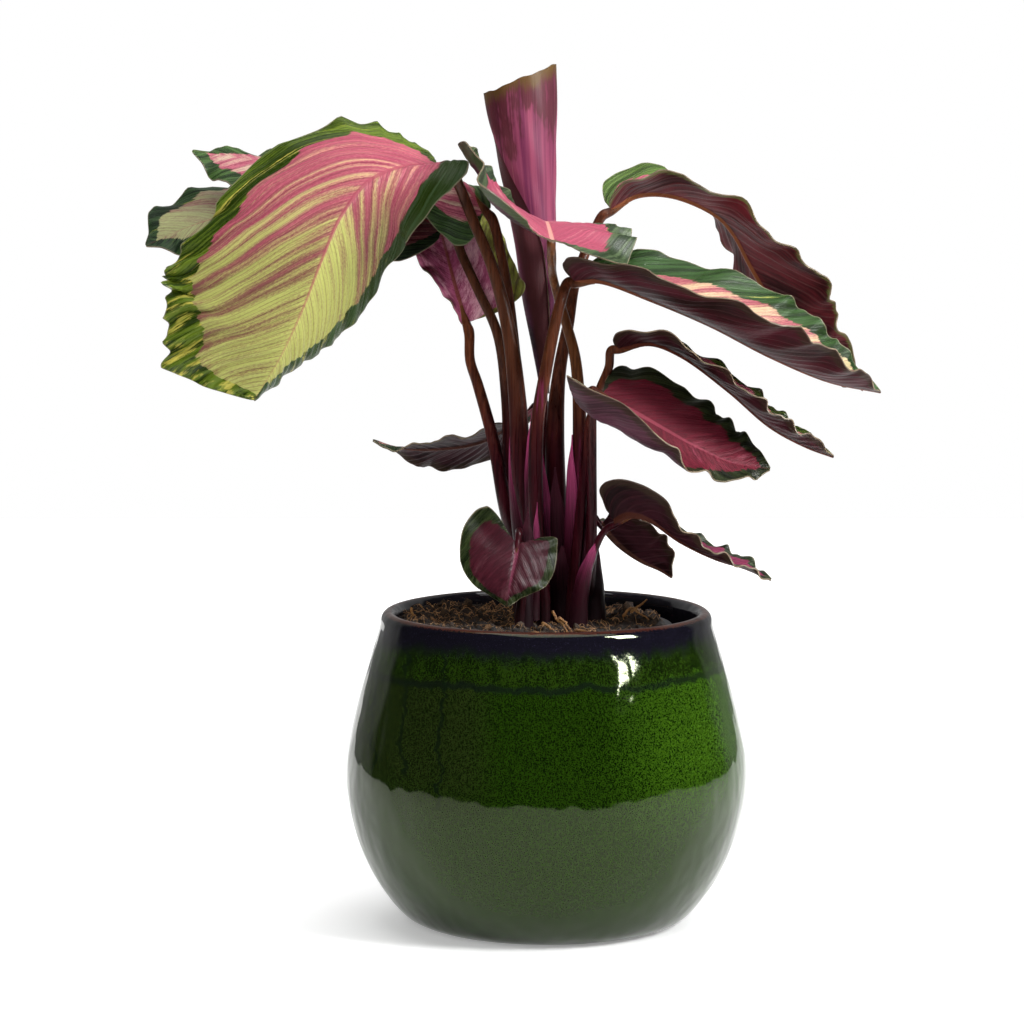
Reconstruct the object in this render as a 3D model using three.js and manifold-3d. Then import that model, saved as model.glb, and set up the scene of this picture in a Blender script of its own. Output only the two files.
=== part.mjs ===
// Potted rosy calathea: a round glazed pot, a plastic grower's pot inside it, peat, and fourteen leaves.
// Millimetres, +Z up, +X to the right as seen from the front, +Y away from the viewer.
// The origin is on the floor under the middle of the pot.

import * as THREE from 'three';
import Module from 'manifold-3d';

// Clearance between pieces that touch
const GAP = 0.3;

// Glazed pot
const POT_HEIGHT = 142;
const POT_FLOOR = 10;
const POT_FOOT_RADIUS = 52;
const POT_BELLY_RADIUS = 90.6;
const POT_SIDES = 32;

// Grower's pot, a 12 cm one
const GROWER_RIM_RADIUS = 60;
const GROWER_BASE_RADIUS = 42;
const GROWER_TOP = 135.5;
const GROWER_WALL = 1.2;
const GROWER_LIP_DEPTH = 8;
const GROWER_SIDES = 24;
const GROWER_SHIFT_X = -2.5;
const DRAIN_HOLES = 6;
const DRAIN_RADIUS = 3.5;
const DRAIN_CIRCLE = 26;

// Peat
const SOIL_TOP = 136.5;
const SOIL_HEAP_LEFT = 5.5;
const SOIL_SIDES = 24;
const STEM_FOOT = 127;

// Leaves
const BLADE_THICKNESS = 0.75;
const TIP_HALF_WIDTH = 0.8;
const RIB_DEPTH = 1.5;
const FIRST_ROW = 0.9;
const STEM_SIDES = 8;
const KNEE = 4;

const rad = (degrees) => (degrees * Math.PI) / 180;
const clamp = (x, low, high) => Math.min(high, Math.max(low, x));
const smooth = (x) => x * x * (3 - 2 * x);

const vec = (p) => new THREE.Vector3(p[0], p[1], p[2]);

// One closed indexed mesh from points and triangles
function solid(points, triangles) {
  const geometry = new THREE.BufferGeometry();
  const flat = points.flatMap((p) => [p.x, p.y, p.z]);
  geometry.setAttribute('position', new THREE.Float32BufferAttribute(flat, 3));
  geometry.setIndex(triangles.flat());
  return geometry;
}

// Rings of points joined into a tube, with both ends closed
function loft(rings) {
  const count = rings[0].length;
  const triangles = [];
  for (let i = 0; i + 1 < rings.length; i += 1) {
    for (let j = 0; j < count; j += 1) {
      const a = i * count + j;
      const b = i * count + ((j + 1) % count);
      triangles.push([a, b, b + count], [a, b + count, a + count]);
    }
  }
  const last = (rings.length - 1) * count;
  for (let j = 1; j + 1 < count; j += 1) {
    triangles.push([0, j + 1, j], [last, last + j, last + j + 1]);
  }
  return solid(rings.flat(), triangles);
}

// A value given at evenly spaced stations, smoothly joined
function blend(values, s) {
  const q = clamp(s, 0, 1) * (values.length - 1);
  const i = Math.min(Math.floor(q), values.length - 2);
  const w = q - i;
  const before = values[Math.max(i - 1, 0)];
  const after = values[Math.min(i + 2, values.length - 1)];
  const slopeA = (values[i + 1] - before) / 2;
  const slopeB = (after - values[i]) / 2;
  const w2 = w * w;
  const w3 = w2 * w;
  return (
    values[i] * (2 * w3 - 3 * w2 + 1) +
    slopeA * (w3 - 2 * w2 + w) +
    values[i + 1] * (3 * w2 - 2 * w3) +
    slopeB * (w3 - w2)
  );
}

// The midrib as a curve that knows its direction and which way the upper face looks
class Spine {
  constructor(points, faces) {
    const dense = 160;
    const curve = new THREE.CatmullRomCurve3(points.map(vec), false, 'centripetal');
    this.points = [];
    for (let i = 0; i < dense; i += 1) {
      this.points.push(curve.getPoint(i / (dense - 1)));
    }
    this.arc = [0];
    for (let i = 1; i < dense; i += 1) {
      this.arc.push(this.arc[i - 1] + this.points[i].distanceTo(this.points[i - 1]));
    }
    this.length = this.arc[dense - 1];
    this.forward = this.points.map((_, i) => {
      const before = this.points[Math.max(i - 1, 0)];
      const after = this.points[Math.min(i + 1, dense - 1)];
      return after.clone().sub(before).normalize();
    });
    this.up = this.forward.map((t, i) => {
      const q = (i / (dense - 1)) * (faces.length - 1);
      const k = Math.min(Math.floor(q), faces.length - 2);
      const face = vec(faces[k]).lerp(vec(faces[k + 1]), q - k);
      return face.addScaledVector(t, -face.dot(t)).normalize();
    });
  }

  at(s) {
    const goal = clamp(s, 0, 1) * this.length;
    let i = 0;
    while (i < this.arc.length - 2 && this.arc[i + 1] < goal) {
      i += 1;
    }
    const w = (goal - this.arc[i]) / (this.arc[i + 1] - this.arc[i]);
    const point = this.points[i].clone().lerp(this.points[i + 1], w);
    const t = this.forward[i].clone().lerp(this.forward[i + 1], w).normalize();
    const n = this.up[i].clone().lerp(this.up[i + 1], w).normalize();
    return { point, t, n, side: t.clone().cross(n) };
  }
}

// How far one half of a blade spreads, s from 0 at the stem to 1 at the tip
function spread(leaf, right, s) {
  const base = Math.sin((Math.PI / 2) * clamp(s / 0.1, 0, 1)) ** 0.6;
  const tip = Math.sin((Math.PI / 2) * clamp((1 - s) / 0.12, 0, 1)) ** 0.85;
  return blend(leaf.width[right ? 0 : 1], s) * base * tip;
}

// Half width of a blade: its spread, never narrower than the tip, and as wide as the stem at the stem
function halfWidth(leaf, right, s) {
  const stub = (leaf.stemRadius - TIP_HALF_WIDTH) * clamp(1 - s / 0.06, 0, 1);
  return TIP_HALF_WIDTH + stub + spread(leaf, right, s);
}

// The middle surface of a blade: s along it, t from -1 at the left edge to 1 at the right edge.
// Each half has its own width, fold at the midrib, curl towards the edge, swept veins and edge waves.
function bladePoint(leaf, s, t) {
  const right = t >= 0;
  const half = right ? 0 : 1;
  const a = Math.abs(t);
  const w = halfWidth(leaf, right, s);
  const ease = smooth(clamp(s / (leaf.lobe ?? 0.45), 0, 1));
  const sweep = leaf.back[half] + (leaf.sweep - leaf.back[half]) * ease;
  const swept = spread(leaf, right, s) + TIP_HALF_WIDTH * s;
  let shift = (sweep * swept * (0.45 * a + 0.55 * a * a)) / leaf.spine.length;
  if (shift > 0) {
    shift *= (1 - s) ** (leaf.taper ?? 0.5);
  }
  const { point, t: forward, n, side } = leaf.spine.at(s + shift);
  const beyond = Math.min(s + shift, 0) + Math.max(s + shift - 1, 0);
  point.addScaledVector(forward, beyond * leaf.spine.length);
  const fold = rad(blend(leaf.fold[half], s));
  const bend = rad(blend(leaf.curl[half], s));
  const curl = Math.abs(bend) < 1e-3 ? 1e-3 : bend;
  const angle = fold + curl * a;
  let x = (w * (Math.sin(angle) - Math.sin(fold))) / curl;
  let y = (w * (Math.cos(fold) - Math.cos(angle))) / curl;
  const [count, rightHeight, leftHeight = rightHeight] = leaf.waves;
  const phase = right ? 0 : 1.7;
  const fade = clamp(Math.min(s / 0.12, (1 - s) / 0.08), 0, 1);
  const turn = 2 * Math.PI * count * s;
  const wave = Math.sin(turn + phase) + 0.35 * Math.sin(1.83 * turn + 2.1 * phase + 1);
  const lift = (right ? rightHeight : leftHeight) * a ** 2.2 * fade * wave;
  x -= lift * Math.sin(angle);
  y += lift * Math.cos(angle);
  return point.addScaledVector(side, right ? x : -x).addScaledVector(n, y);
}

// A blade as a closed sheet with a raised rib under its middle, split alike on both faces.
// Its first row stands a little way on from the stem, where the blade has already begun to spread.
function blade(leaf) {
  const [rows, columns] = leaf.grid;
  const start = FIRST_ROW / leaf.spine.length;
  const upper = [];
  const lower = [];
  const step = 0.004;
  for (let i = 0; i <= rows; i += 1) {
    const s = start + (1 - start) * (i / rows) ** (leaf.early ?? 1);
    for (let j = -columns; j <= columns; j += 1) {
      const right = j >= 0;
      const w = halfWidth(leaf, right, s);
      const rib = leaf.stemRadius * (1 - 0.75 * s);
      const inner = Math.min(rib / w, 0.5);
      const c = Math.abs(j);
      const a = c === 0 ? 0 : inner + ((1 - inner) * (c - 1)) / (columns - 1);
      const t = right ? a : -a;
      const ahead = bladePoint(leaf, Math.min(s + step, 1), t);
      const behind = bladePoint(leaf, Math.max(s - step, 0), t);
      const rightward = bladePoint(leaf, s, Math.min(t + step, 1));
      const leftward = bladePoint(leaf, s, Math.max(t - step, -1));
      const normal = rightward.sub(leftward).cross(ahead.sub(behind)).normalize();
      const middle = bladePoint(leaf, s, t);
      const ribDrop = c === 0 ? RIB_DEPTH * (1 - 0.7 * s) : 0;
      upper.push(middle.clone().addScaledVector(normal, BLADE_THICKNESS / 2));
      lower.push(middle.clone().addScaledVector(normal, -BLADE_THICKNESS / 2 - ribDrop));
    }
  }
  const width = 2 * columns + 1;
  const under = upper.length;
  const triangles = [];
  for (let i = 0; i < rows; i += 1) {
    for (let j = 0; j + 1 < width; j += 1) {
      const a = i * width + j;
      const b = a + 1;
      const d = a + width;
      const e = d + 1;
      const halves = (i + j) % 2 ? [[a, b, e], [a, e, d]] : [[a, b, d], [b, e, d]];
      halves.forEach(([p, q, r]) => {
        triangles.push([p, q, r], [under + p, under + r, under + q]);
      });
    }
  }
  const border = [];
  for (let j = 0; j + 1 < width; j += 1) {
    border.push(j);
  }
  for (let i = 0; i < rows; i += 1) {
    border.push(i * width + width - 1);
  }
  for (let j = width - 1; j > 0; j -= 1) {
    border.push(rows * width + j);
  }
  for (let i = rows; i > 0; i -= 1) {
    border.push(i * width);
  }
  border.forEach((a, k) => {
    const b = border[(k + 1) % border.length];
    triangles.push([a, under + a, under + b], [a, under + b, b]);
  });
  return solid([...upper, ...lower], triangles);
}

// A stem that follows its points, with a radius at each evenly spaced station
function stem(route, radii, { extra = 0, stations = 9 } = {}) {
  const curve = new THREE.CatmullRomCurve3(route.map(vec), false, 'centripetal');
  const rings = [];
  for (let i = 0; i <= stations; i += 1) {
    const u = i / stations;
    const centre = curve.getPoint(u);
    const t = curve.getTangent(u);
    const across = t.clone().cross(new THREE.Vector3(0, 1, 0.05)).normalize();
    const deep = t.clone().cross(across).normalize();
    const r = blend(radii, u);
    const ring = [];
    for (let j = 0; j < STEM_SIDES; j += 1) {
      const angle = (2 * Math.PI * j) / STEM_SIDES;
      ring.push(
        centre
          .clone()
          .addScaledVector(across, (r + extra) * Math.cos(angle))
          .addScaledVector(deep, (r + extra) * Math.sin(angle)),
      );
    }
    rings.push(ring);
  }
  return loft(rings);
}

// Where a stem meets its blade: in line with the midrib, or from under it where the leaf bends back
function lastStemPoints(leaf) {
  const { point, t, n } = leaf.spine.at(0);
  if (leaf.joint === 'under') {
    const drop = BLADE_THICKNESS / 2 + RIB_DEPTH + 2 * GAP;
    return [point.addScaledVector(t, KNEE / 2).addScaledVector(n, -drop).toArray()];
  }
  return [-KNEE, FIRST_ROW - 3 * GAP].map((ahead) => point.clone().addScaledVector(t, ahead).toArray());
}

// The leaves, from measurements on the plant. midrib runs from the stem to the tip; faces says which way
// the upper side looks at even steps along it; width, fold and curl are for the right and the left half,
// looking along the midrib with the upper side up; waves says how many the edges have, how high they are,
// and how high on the left half where that differs; stem runs from the peat to just short of the blade.
const LEAVES = {
  front_left: {
    midrib: [[-47, -14, 342], [-63, -24, 342], [-78, -32, 336], [-90, -38, 321], [-98, -42, 303],
      [-107, -44, 280], [-117, -43, 259], [-129, -36, 240]],
    faces: [[-0.05, -0.5, 0.87], [-0.15, -0.8, 0.6], [-0.25, -0.95, 0.25], [-0.3, -0.95, -0.05]],
    width: [[30, 40, 56, 68, 67, 58, 46, 46], [16, 21, 36, 42, 37, 27, 14, 7]],
    fold: [[0, 0, 4, 8], [58, -38, -60, -66, -70]],
    curl: [[-5, -12, -15, -10], [-25, -30, -30, -25]],
    back: [-0.35, -1],
    sweep: 0.62,
    taper: 0,
    waves: [8, 2, 0.6],
    grid: [26, 6],
    stem: [[-4, -3, STEM_FOOT], [-4, -3, 146], [-7, -3, 168], [-11, -4, 201], [-13, -3, 237], [-17, -2, 269],
      [-24, -2, 296], [-33, 0, 318], [-39, -2, 333]],
    radii: [4.5, 4.6, 4.6, 4.5, 3.7, 2.9, 2.5, 2.4, 2.3, 2.2],
  },
  back_left_low: {
    midrib: [[-46, 20.5, 313], [-62, 25, 320], [-89, 31, 326], [-127, 40, 323], [-159, 42, 315], [-183, 36, 305]],
    faces: [[-0.2, -0.35, 0.9], [-0.2, -0.3, 0.95], [-0.4, -0.45, 0.85], [-0.5, -0.6, 0.6]],
    width: [[9, 12, 24, 35, 37, 32, 24, 12], [22, 34, 38, 38, 36, 28, 17, 8]],
    fold: [[-20, 0, 10], [0, -10, 0]],
    curl: [[-10, -20, -10], [-20, -20, -5]],
    back: [-0.25, -0.25],
    sweep: 0.8,
    waves: [6, 2],
    grid: [20, 5],
    stem: [[-12, 16, STEM_FOOT], [-12, 16, 141], [-15, 15, 165], [-17, 14, 200], [-18, 14, 236], [-22, 12, 266],
      [-31, 14.5, 286], [-38, 19, 301]],
    radii: [3, 3, 3, 2.6, 2.4, 2.2, 2.2, 2.2, 2],
  },
  back_left_high: {
    midrib: [[-27, 12, 321], [-38, 14, 334], [-55, 26, 341], [-90, 44, 342], [-127, 54, 343], [-163, 54, 348]],
    faces: [[-0.5, -0.5, 0.6], [-0.3, -0.3, 0.9], [0, -0.1, 0.98], [-0.1, -0.35, 0.9]],
    width: [[8, 12, 24, 30, 26, 20, 12, 6], [20, 23, 30, 34, 32, 28, 20, 10]],
    fold: [[-50, -30, 0, 0], [0, -6, -10]],
    curl: [[-10, -10, -10], [-10, -15, -20]],
    back: [-0.2, -0.8],
    sweep: 0.8,
    waves: [6, 2],
    grid: [20, 5],
    stem: [[-2, 15, STEM_FOOT], [-2, 15, 141], [-6, 16, 172], [-9, 16, 204], [-13, 14, 245], [-17, 12, 282],
      [-20, 11, 300]],
    radii: [3, 3, 3, 2.8, 2.5, 2.3, 2.2, 2],
  },
  rear_upright: {
    midrib: [[-36, 18, 270], [-42, 26, 290], [-47, 35, 308], [-51, 41, 320], [-56, 45, 328], [-63, 47, 333]],
    faces: [[0.1, 0.95, 0.1], [0.1, 0.95, 0.1], [0, 0.95, 0.3]],
    width: [[2, 4, 9, 14, 17, 14, 9, 4], [33, 29, 27, 25, 20, 14, 8, 4]],
    fold: [[0, 0, 0], [0, 0, 0]],
    curl: [[-10, -25, -20], [5, 0, -20]],
    back: [0.3, 0],
    sweep: 0.5,
    waves: [6, 2],
    grid: [18, 5],
    stem: [[-11, 7, STEM_FOOT], [-11, 7, 141], [-13, 6, 165], [-19, 5, 191], [-24, 9, 218], [-31, 14, 243],
      [-34.5, 15, 254]],
    radii: [3.5, 3.5, 3.4, 3, 2.6, 2.3, 2.2, 2],
  },
  centre_flat: {
    midrib: [[2, -38, 310], [0, -22, 317], [-1, -6, 317], [-1, 8, 314], [-2, 20, 310]],
    faces: [[0.1, -0.35, 0.95], [0, 0, 1], [0, 0.3, 0.95]],
    width: [[25, 35, 40, 38, 34, 28, 20, 11], [42, 50, 52, 46, 40, 32, 22, 12]],
    fold: [[-8, 0, 12], [14, 18, 22]],
    curl: [[-10, -15, -10], [58, 52, 48]],
    back: [-0.5, -0.5],
    sweep: 0.4,
    waves: [5, 2.6],
    grid: [18, 6],
    stem: [[14, -4, STEM_FOOT], [14, -4, 143], [15, -3, 183], [15, -3, 224], [13, -4, 255], [9, -4, 271],
      [5, -6, 284], [2.5, -14, 294], [2, -26, 301]],
    joint: 'under',
    radii: [4.2, 4.2, 4.1, 3.5, 2.7, 2.4, 2.2, 2, 1.9, 1.8, 1.8],
  },
  right_long: {
    midrib: [[13, -12, 290.5], [23, -17, 291.5], [46, -24, 283.5], [72, -30, 272.5], [98, -33, 259], [124, -32, 248],
      [147, -28, 243]],
    faces: [[0.1, -0.1, 0.95], [0.3, -0.1, 0.9], [0.3, -0.1, 0.9], [0.2, -0.1, 0.95]],
    width: [[17, 18, 28, 36, 33, 27, 20, 10], [20, 26, 31, 33, 31, 26, 18, 9]],
    fold: [[26, 10, 17, 10], [26, 38, 42, 36]],
    curl: [[36, 42, 38, 24], [10, 10, 10, 10]],
    back: [-0.6, -0.15],
    sweep: 0.8,
    waves: [6, 2.2],
    grid: [20, 5],
    stem: [[-1, -13, STEM_FOOT], [-1, -13, 143], [-4, -14, 175], [-5, -15, 203], [-4, -16, 230], [0, -17, 254],
      [4, -16, 274], [7, -14, 285]],
    radii: [3.6, 3.6, 3.4, 3.2, 2.8, 2.6, 2.4, 2.3, 2.2],
  },
  right_arching: {
    midrib: [[29, 25, 321], [41, 26, 328], [57, 26, 328], [77.2, 25, 319.2], [85.0, 24, 310.8], [93.3, 22, 295.0],
      [114, 17, 262], [143, 8, 241]],
    faces: [[0, -0.1, 0.95], [0.1, 0.1, 0.95], [0.45, 0.7, 0.5], [0.4, 0.85, 0.3], [0.5, 0.75, 0.4]],
    width: [[10, 18, 18, 29, 34, 29, 19, 8], [22, 23, 13, 16, 20, 16, 12, 8]],
    fold: [[38, 12, -26, -8, 0, 0], [30, 28, 26, 28, 36, 40]],
    curl: [[15, 10, 0, 0, 0], [10, 10, 10, 10, 0]],
    back: [-0.25, -0.05],
    sweep: 0.45,
    waves: [7, 2.2],
    grid: [22, 5],
    stem: [[6, 4, STEM_FOOT], [6, 4, 141], [5, 4, 182], [4, 5, 223], [6, 8, 250], [10, 12, 271], [13, 18, 289],
      [18, 23, 303], [22, 25, 312.5]],
    radii: [4.6, 4.6, 4.6, 4.2, 3, 2.6, 2.4, 2.3, 2.2, 2.1, 2],
  },
  right_narrow: {
    midrib: [[32, -22, 261.5], [45.5, -28, 264.5], [59, -33, 259.5], [79.5, -40, 244.5], [97.5, -44, 229],
      [113, -46, 220.5],
      [125, -46, 216]],
    faces: [[0, -0.1, 0.95], [0.3, 0, 0.9], [0.4, 0, 0.9], [0.3, 0, 0.95]],
    width: [[13, 15, 16, 20, 19, 16, 11, 6], [10, 12, 14, 18, 18, 15, 10, 5]],
    fold: [[24, 10, 14, 20], [12, 12, 18, 22]],
    curl: [[20, 20, 20], [10, 10, 10]],
    back: [-0.25, -0.25],
    sweep: 0.8,
    waves: [6, 1.6],
    grid: [18, 4],
    stem: [[11, -15, STEM_FOOT], [11, -15, 143], [14, -14, 175], [17, -14, 207], [19, -14, 227], [23.5, -17, 243],
      [27.5, -19, 253.5]],
    radii: [2.6, 2.6, 2.5, 2.3, 2.1, 2, 1.9, 1.8],
  },
  right_crimson: {
    midrib: [[23, -28, 242], [38, -36, 235], [51, -42, 228], [64, -47, 221], [80, -50, 214], [97, -50, 211]],
    faces: [[0.15, -0.75, 0.65], [0.2, -0.75, 0.65], [0.2, -0.7, 0.7]],
    width: [[29, 38, 38, 30, 21, 13, 8, 4], [18, 24, 27, 25, 23, 20, 16, 9]],
    fold: [[-15, -15, -12, -10], [5, 0, 0, 0]],
    curl: [[140, 125, 50, 10], [-10, -10, -10, -10]],
    back: [-0.5, -0.5],
    sweep: 0.5,
    waves: [5, 1.8],
    grid: [16, 6],
    stem: [[19, -12, STEM_FOOT], [19, -12, 143], [20, -15, 176], [20, -19, 208], [20, -22, 228], [20, -24, 237]],
    radii: [2.6, 2.6, 2.5, 2.2, 2, 1.9, 1.8, 1.8],
  },
  right_low: {
    midrib: [[30, -26, 184], [36, -30, 188], [45, -35, 187], [59, -41, 178], [74, -45, 171], [87, -47, 167],
      [98, -48, 162]],
    faces: [[0.1, 0, 0.95], [0.3, 0, 0.9], [0.3, -0.1, 0.9], [0.3, -0.2, 0.9]],
    width: [[17, 17, 14, 13, 12, 11, 8, 4], [14, 15, 16, 16, 15, 12, 8, 4]],
    fold: [[80, 28, 12, 8], [6, 4, 5, 6]],
    curl: [[10, 20, 20, 10], [10, 10, 10, 0]],
    back: [-0.25, -0.25],
    sweep: 0.8,
    waves: [5, 1.5],
    grid: [16, 4],
    stem: [[14, -22, STEM_FOOT], [14, -22, 143], [18, -21, 161], [22, -23, 174], [25, -24, 180]],
    radii: [2.2, 2.2, 1.8, 1.6, 1.5, 1.5],
  },
  right_small: {
    midrib: [[24, 12, 180], [33, 12, 170], [43, 10, 163], [52, 8, 159], [57, 6, 156]],
    faces: [[0.3, 0.8, 0.4], [0.4, 0.8, 0.4], [0.4, 0.8, 0.4]],
    width: [[12, 16, 18, 18, 17, 14, 10, 5], [10, 14, 16, 16, 15, 12, 8, 4]],
    fold: [[0, 0, 0], [60, 60, 50]],
    curl: [[20, 10, 0], [20, 20, 0]],
    back: [-0.25, -0.25],
    sweep: 0.8,
    waves: [4, 1.2],
    grid: [12, 4],
    stem: [[18, 7, STEM_FOOT], [18, 7, 141], [18, 10, 161], [18, 11, 174], [20, 12, 181]],
    radii: [2, 2, 1.7, 1.5, 1.4, 1.4],
  },
  front_heart: {
    midrib: [[-13, -31, 177], [-14, -34, 170], [-16, -37, 161], [-18, -38, 149]],
    faces: [[-0.05, -0.9, 0.4], [-0.05, -0.97, 0.2], [-0.05, -0.97, 0.1]],
    width: [[10, 16, 22, 25, 24, 17, 9, 3], [14, 18, 18, 18, 16, 11, 5, 3]],
    fold: [[5, 5, 5], [0, 0, 0]],
    curl: [[-15, -20, -20], [-40, -30, -20]],
    back: [-1.3, -0.5],
    lobe: 0.8,
    early: 1.7,
    sweep: 0.1,
    waves: [3, 0.8],
    grid: [12, 4],
    stem: [[-12, -22, STEM_FOOT], [-12, -22, 141], [-11, -23, 154], [-12, -24, 170], [-12.5, -26, 181]],
    radii: [2.4, 2.4, 2, 1.6, 1.5, 1.4, 1.4],
  },
  left_small: {
    midrib: [[-5, 36, 232], [-16, 36, 223], [-31, 33, 215], [-51, 28, 212.5], [-67, 24, 213.5], [-79, 22, 217]],
    faces: [[-0.2, -0.2, 0.9], [-0.2, 0.5, 0.8], [-0.1, 0.5, 0.8], [-0.1, -0.3, 0.9]],
    width: [[10, 15, 17, 16, 14, 10, 7, 4], [10, 15, 17, 16, 14, 10, 7, 4]],
    fold: [[0, 0, 0], [0, 0, 0]],
    curl: [[-20, -20, -20], [-20, -20, -20]],
    back: [-0.25, -0.25],
    sweep: 0.8,
    waves: [4, 1.2],
    grid: [14, 4],
    stem: [[0, 33, STEM_FOOT], [0, 33, 140], [-1, 36, 179], [1, 37, 216], [1, 37, 229]],
    radii: [2.4, 2.4, 2.1, 1.8, 1.7, 1.6, 1.6],
  },
};

// The newest leaf, still rolled up round its own midrib like a paper cone
const ROLL = {
  axis: [[-1, 28, 238], [-2, 30, 256], [-3.8, 34, 280], [-5.7, 37, 308], [-8.5, 38, 337], [-11.5, 40, 374]],
  radii: [2.6, 4.8, 7.9, 10.4, 13.6, 17],
  freeEdge: [325, 322, 310, 288, 235, 178],
  wrap: [380, 390, 400, 405, 410, 415],
  pitch: 1.35,
  thickness: 0.7,
  slant: 13.5,
  rows: 10,
  columns: 20,
  plug: { radius: 2.3, bottom: [-1.3, 27.4, 231], top: [-1.7, 29.3, 250] },
  stem: [[5, 23, STEM_FOOT], [5, 23, 140], [1, 24, 180], [-1, 26, 212], [-1.3, 27.4, 230.6]],
  stemRadii: [3.2, 3.2, 3, 2.8, 2.3],
};

// A rolled sheet: the outer free edge winds down the front, and the inner edge is hidden inside
function rolledSheet(roll) {
  const axis = new THREE.CatmullRomCurve3(roll.axis.map(vec), false, 'centripetal');
  const outer = [];
  const inner = [];
  for (let i = 0; i <= roll.rows; i += 1) {
    const v = i / roll.rows;
    const centre = axis.getPoint(v);
    for (let j = 0; j <= roll.columns; j += 1) {
      const u = j / roll.columns;
      const turned = blend(roll.wrap, v) * u;
      const angle = rad(blend(roll.freeEdge, v) + turned);
      const r = blend(roll.radii, v) - (roll.pitch * turned) / 360;
      const rise = roll.slant * v ** 3 * Math.sin((Math.PI / 2) * clamp(turned / 180, 0, 2)) ** 2;
      const x = Math.cos(angle);
      const y = Math.sin(angle);
      outer.push(new THREE.Vector3(centre.x + r * x, centre.y + r * y, centre.z + rise));
      const near = r - roll.thickness;
      inner.push(new THREE.Vector3(centre.x + near * x, centre.y + near * y, centre.z + rise));
    }
  }
  const width = roll.columns + 1;
  const under = outer.length;
  const triangles = [];
  const quad = (a, b, c, d) => triangles.push([a, b, c], [a, c, d]);
  for (let i = 0; i < roll.rows; i += 1) {
    for (let j = 0; j < roll.columns; j += 1) {
      const a = i * width + j;
      quad(a, a + 1, a + width + 1, a + width);
      quad(under + a, under + a + width, under + a + width + 1, under + a + 1);
    }
    const left = i * width;
    const right = left + roll.columns;
    quad(left, left + width, under + left + width, under + left);
    quad(right, under + right, under + right + width, right + width);
  }
  const top = roll.rows * width;
  for (let j = 0; j < roll.columns; j += 1) {
    quad(j, under + j, under + j + 1, j + 1);
    quad(top + j, top + j + 1, under + top + j + 1, under + top + j);
  }
  return solid([...outer, ...inner], triangles);
}

// Solid of revolution from a closed outline of [radius, height], both ends on the axis
function turned(profile, sides, shiftX = 0) {
  const points = [new THREE.Vector3(shiftX, 0, profile[0][1])];
  const rings = profile.slice(1, -1);
  rings.forEach(([r, z]) => {
    for (let j = 0; j < sides; j += 1) {
      const angle = (2 * Math.PI * j) / sides;
      points.push(new THREE.Vector3(shiftX + r * Math.cos(angle), r * Math.sin(angle), z));
    }
  });
  const end = points.length;
  points.push(new THREE.Vector3(shiftX, 0, profile[profile.length - 1][1]));
  const triangles = [];
  for (let j = 0; j < sides; j += 1) {
    const k = (j + 1) % sides;
    triangles.push([0, 1 + k, 1 + j]);
    for (let i = 0; i + 1 < rings.length; i += 1) {
      const a = 1 + i * sides;
      const b = a + sides;
      triangles.push([a + j, a + k, b + k], [a + j, b + k, b + j]);
    }
    const last = 1 + (rings.length - 1) * sides;
    triangles.push([end, last + j, last + k]);
  }
  return solid(points, triangles);
}

// Glazed pot outline: foot, round belly, drawn-in shoulder, rounded lip, then the inside
const POT_OUTSIDE = [
  [POT_FOOT_RADIUS, 0], [58, 0.9], [64, 3.6], [68.7, 8], [75.8, 17.5], [81.1, 27], [85.6, 38], [88.9, 51],
  [POT_BELLY_RADIUS, 64], [90.2, 76], [87.8, 89], [84.2, 104], [79.6, 120], [75.4, 134], [74, 140.2],
  [71.6, POT_HEIGHT],
];
const POT_INSIDE = [
  [68.9, 141.3], [67.2, 138], [72.6, 120], [80.2, 92], [83.5, 66], [79.4, 40], [68, 18], [54, POT_FLOOR],
];

function glazedPot() {
  return turned([[0, 0], ...POT_OUTSIDE, ...POT_INSIDE, [0, POT_FLOOR]], POT_SIDES);
}

// Radius of the grower's pot inside its wall at a height
function growerInside(z) {
  const bottom = POT_FLOOR + GAP;
  const share = (z - bottom) / (GROWER_TOP - bottom);
  return GROWER_BASE_RADIUS + (GROWER_RIM_RADIUS - 2.4 - GROWER_BASE_RADIUS) * share - GROWER_WALL;
}

function growerPot() {
  const bottom = POT_FLOOR + GAP;
  const floor = bottom + GROWER_WALL + 0.4;
  const lip = GROWER_TOP - GROWER_LIP_DEPTH;
  const outside = (z) => growerInside(z) + GROWER_WALL;
  return turned(
    [
      [0, bottom], [GROWER_BASE_RADIUS - 2, bottom], [outside(bottom + 2), bottom + 2], [outside(lip), lip],
      [GROWER_RIM_RADIUS - 0.6, lip], [GROWER_RIM_RADIUS, GROWER_TOP - 1],
      [GROWER_RIM_RADIUS - 0.6, GROWER_TOP], [growerInside(GROWER_TOP), GROWER_TOP],
      [growerInside(floor), floor], [0, floor],
    ],
    GROWER_SIDES,
    GROWER_SHIFT_X,
  );
}

// Height of the peat: low lumps, heaped up against the left wall
function soilHeight(x, y) {
  const lumps = Math.sin(0.19 * x + 1) * Math.cos(0.23 * y) + 0.6 * Math.sin(0.41 * x - 0.33 * y);
  const heap = SOIL_HEAP_LEFT * smooth(clamp((-x - 18) / 46, 0, 1));
  const rightMound = 4 * Math.exp(-((x - 42) ** 2 + (y + 6) ** 2) / 130);
  const drop = -2.5 * smooth(clamp((x - 48) / 8, 0, 1));
  return SOIL_TOP + 1.1 * lumps + heap * 0.5 + rightMound + drop;
}

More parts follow.
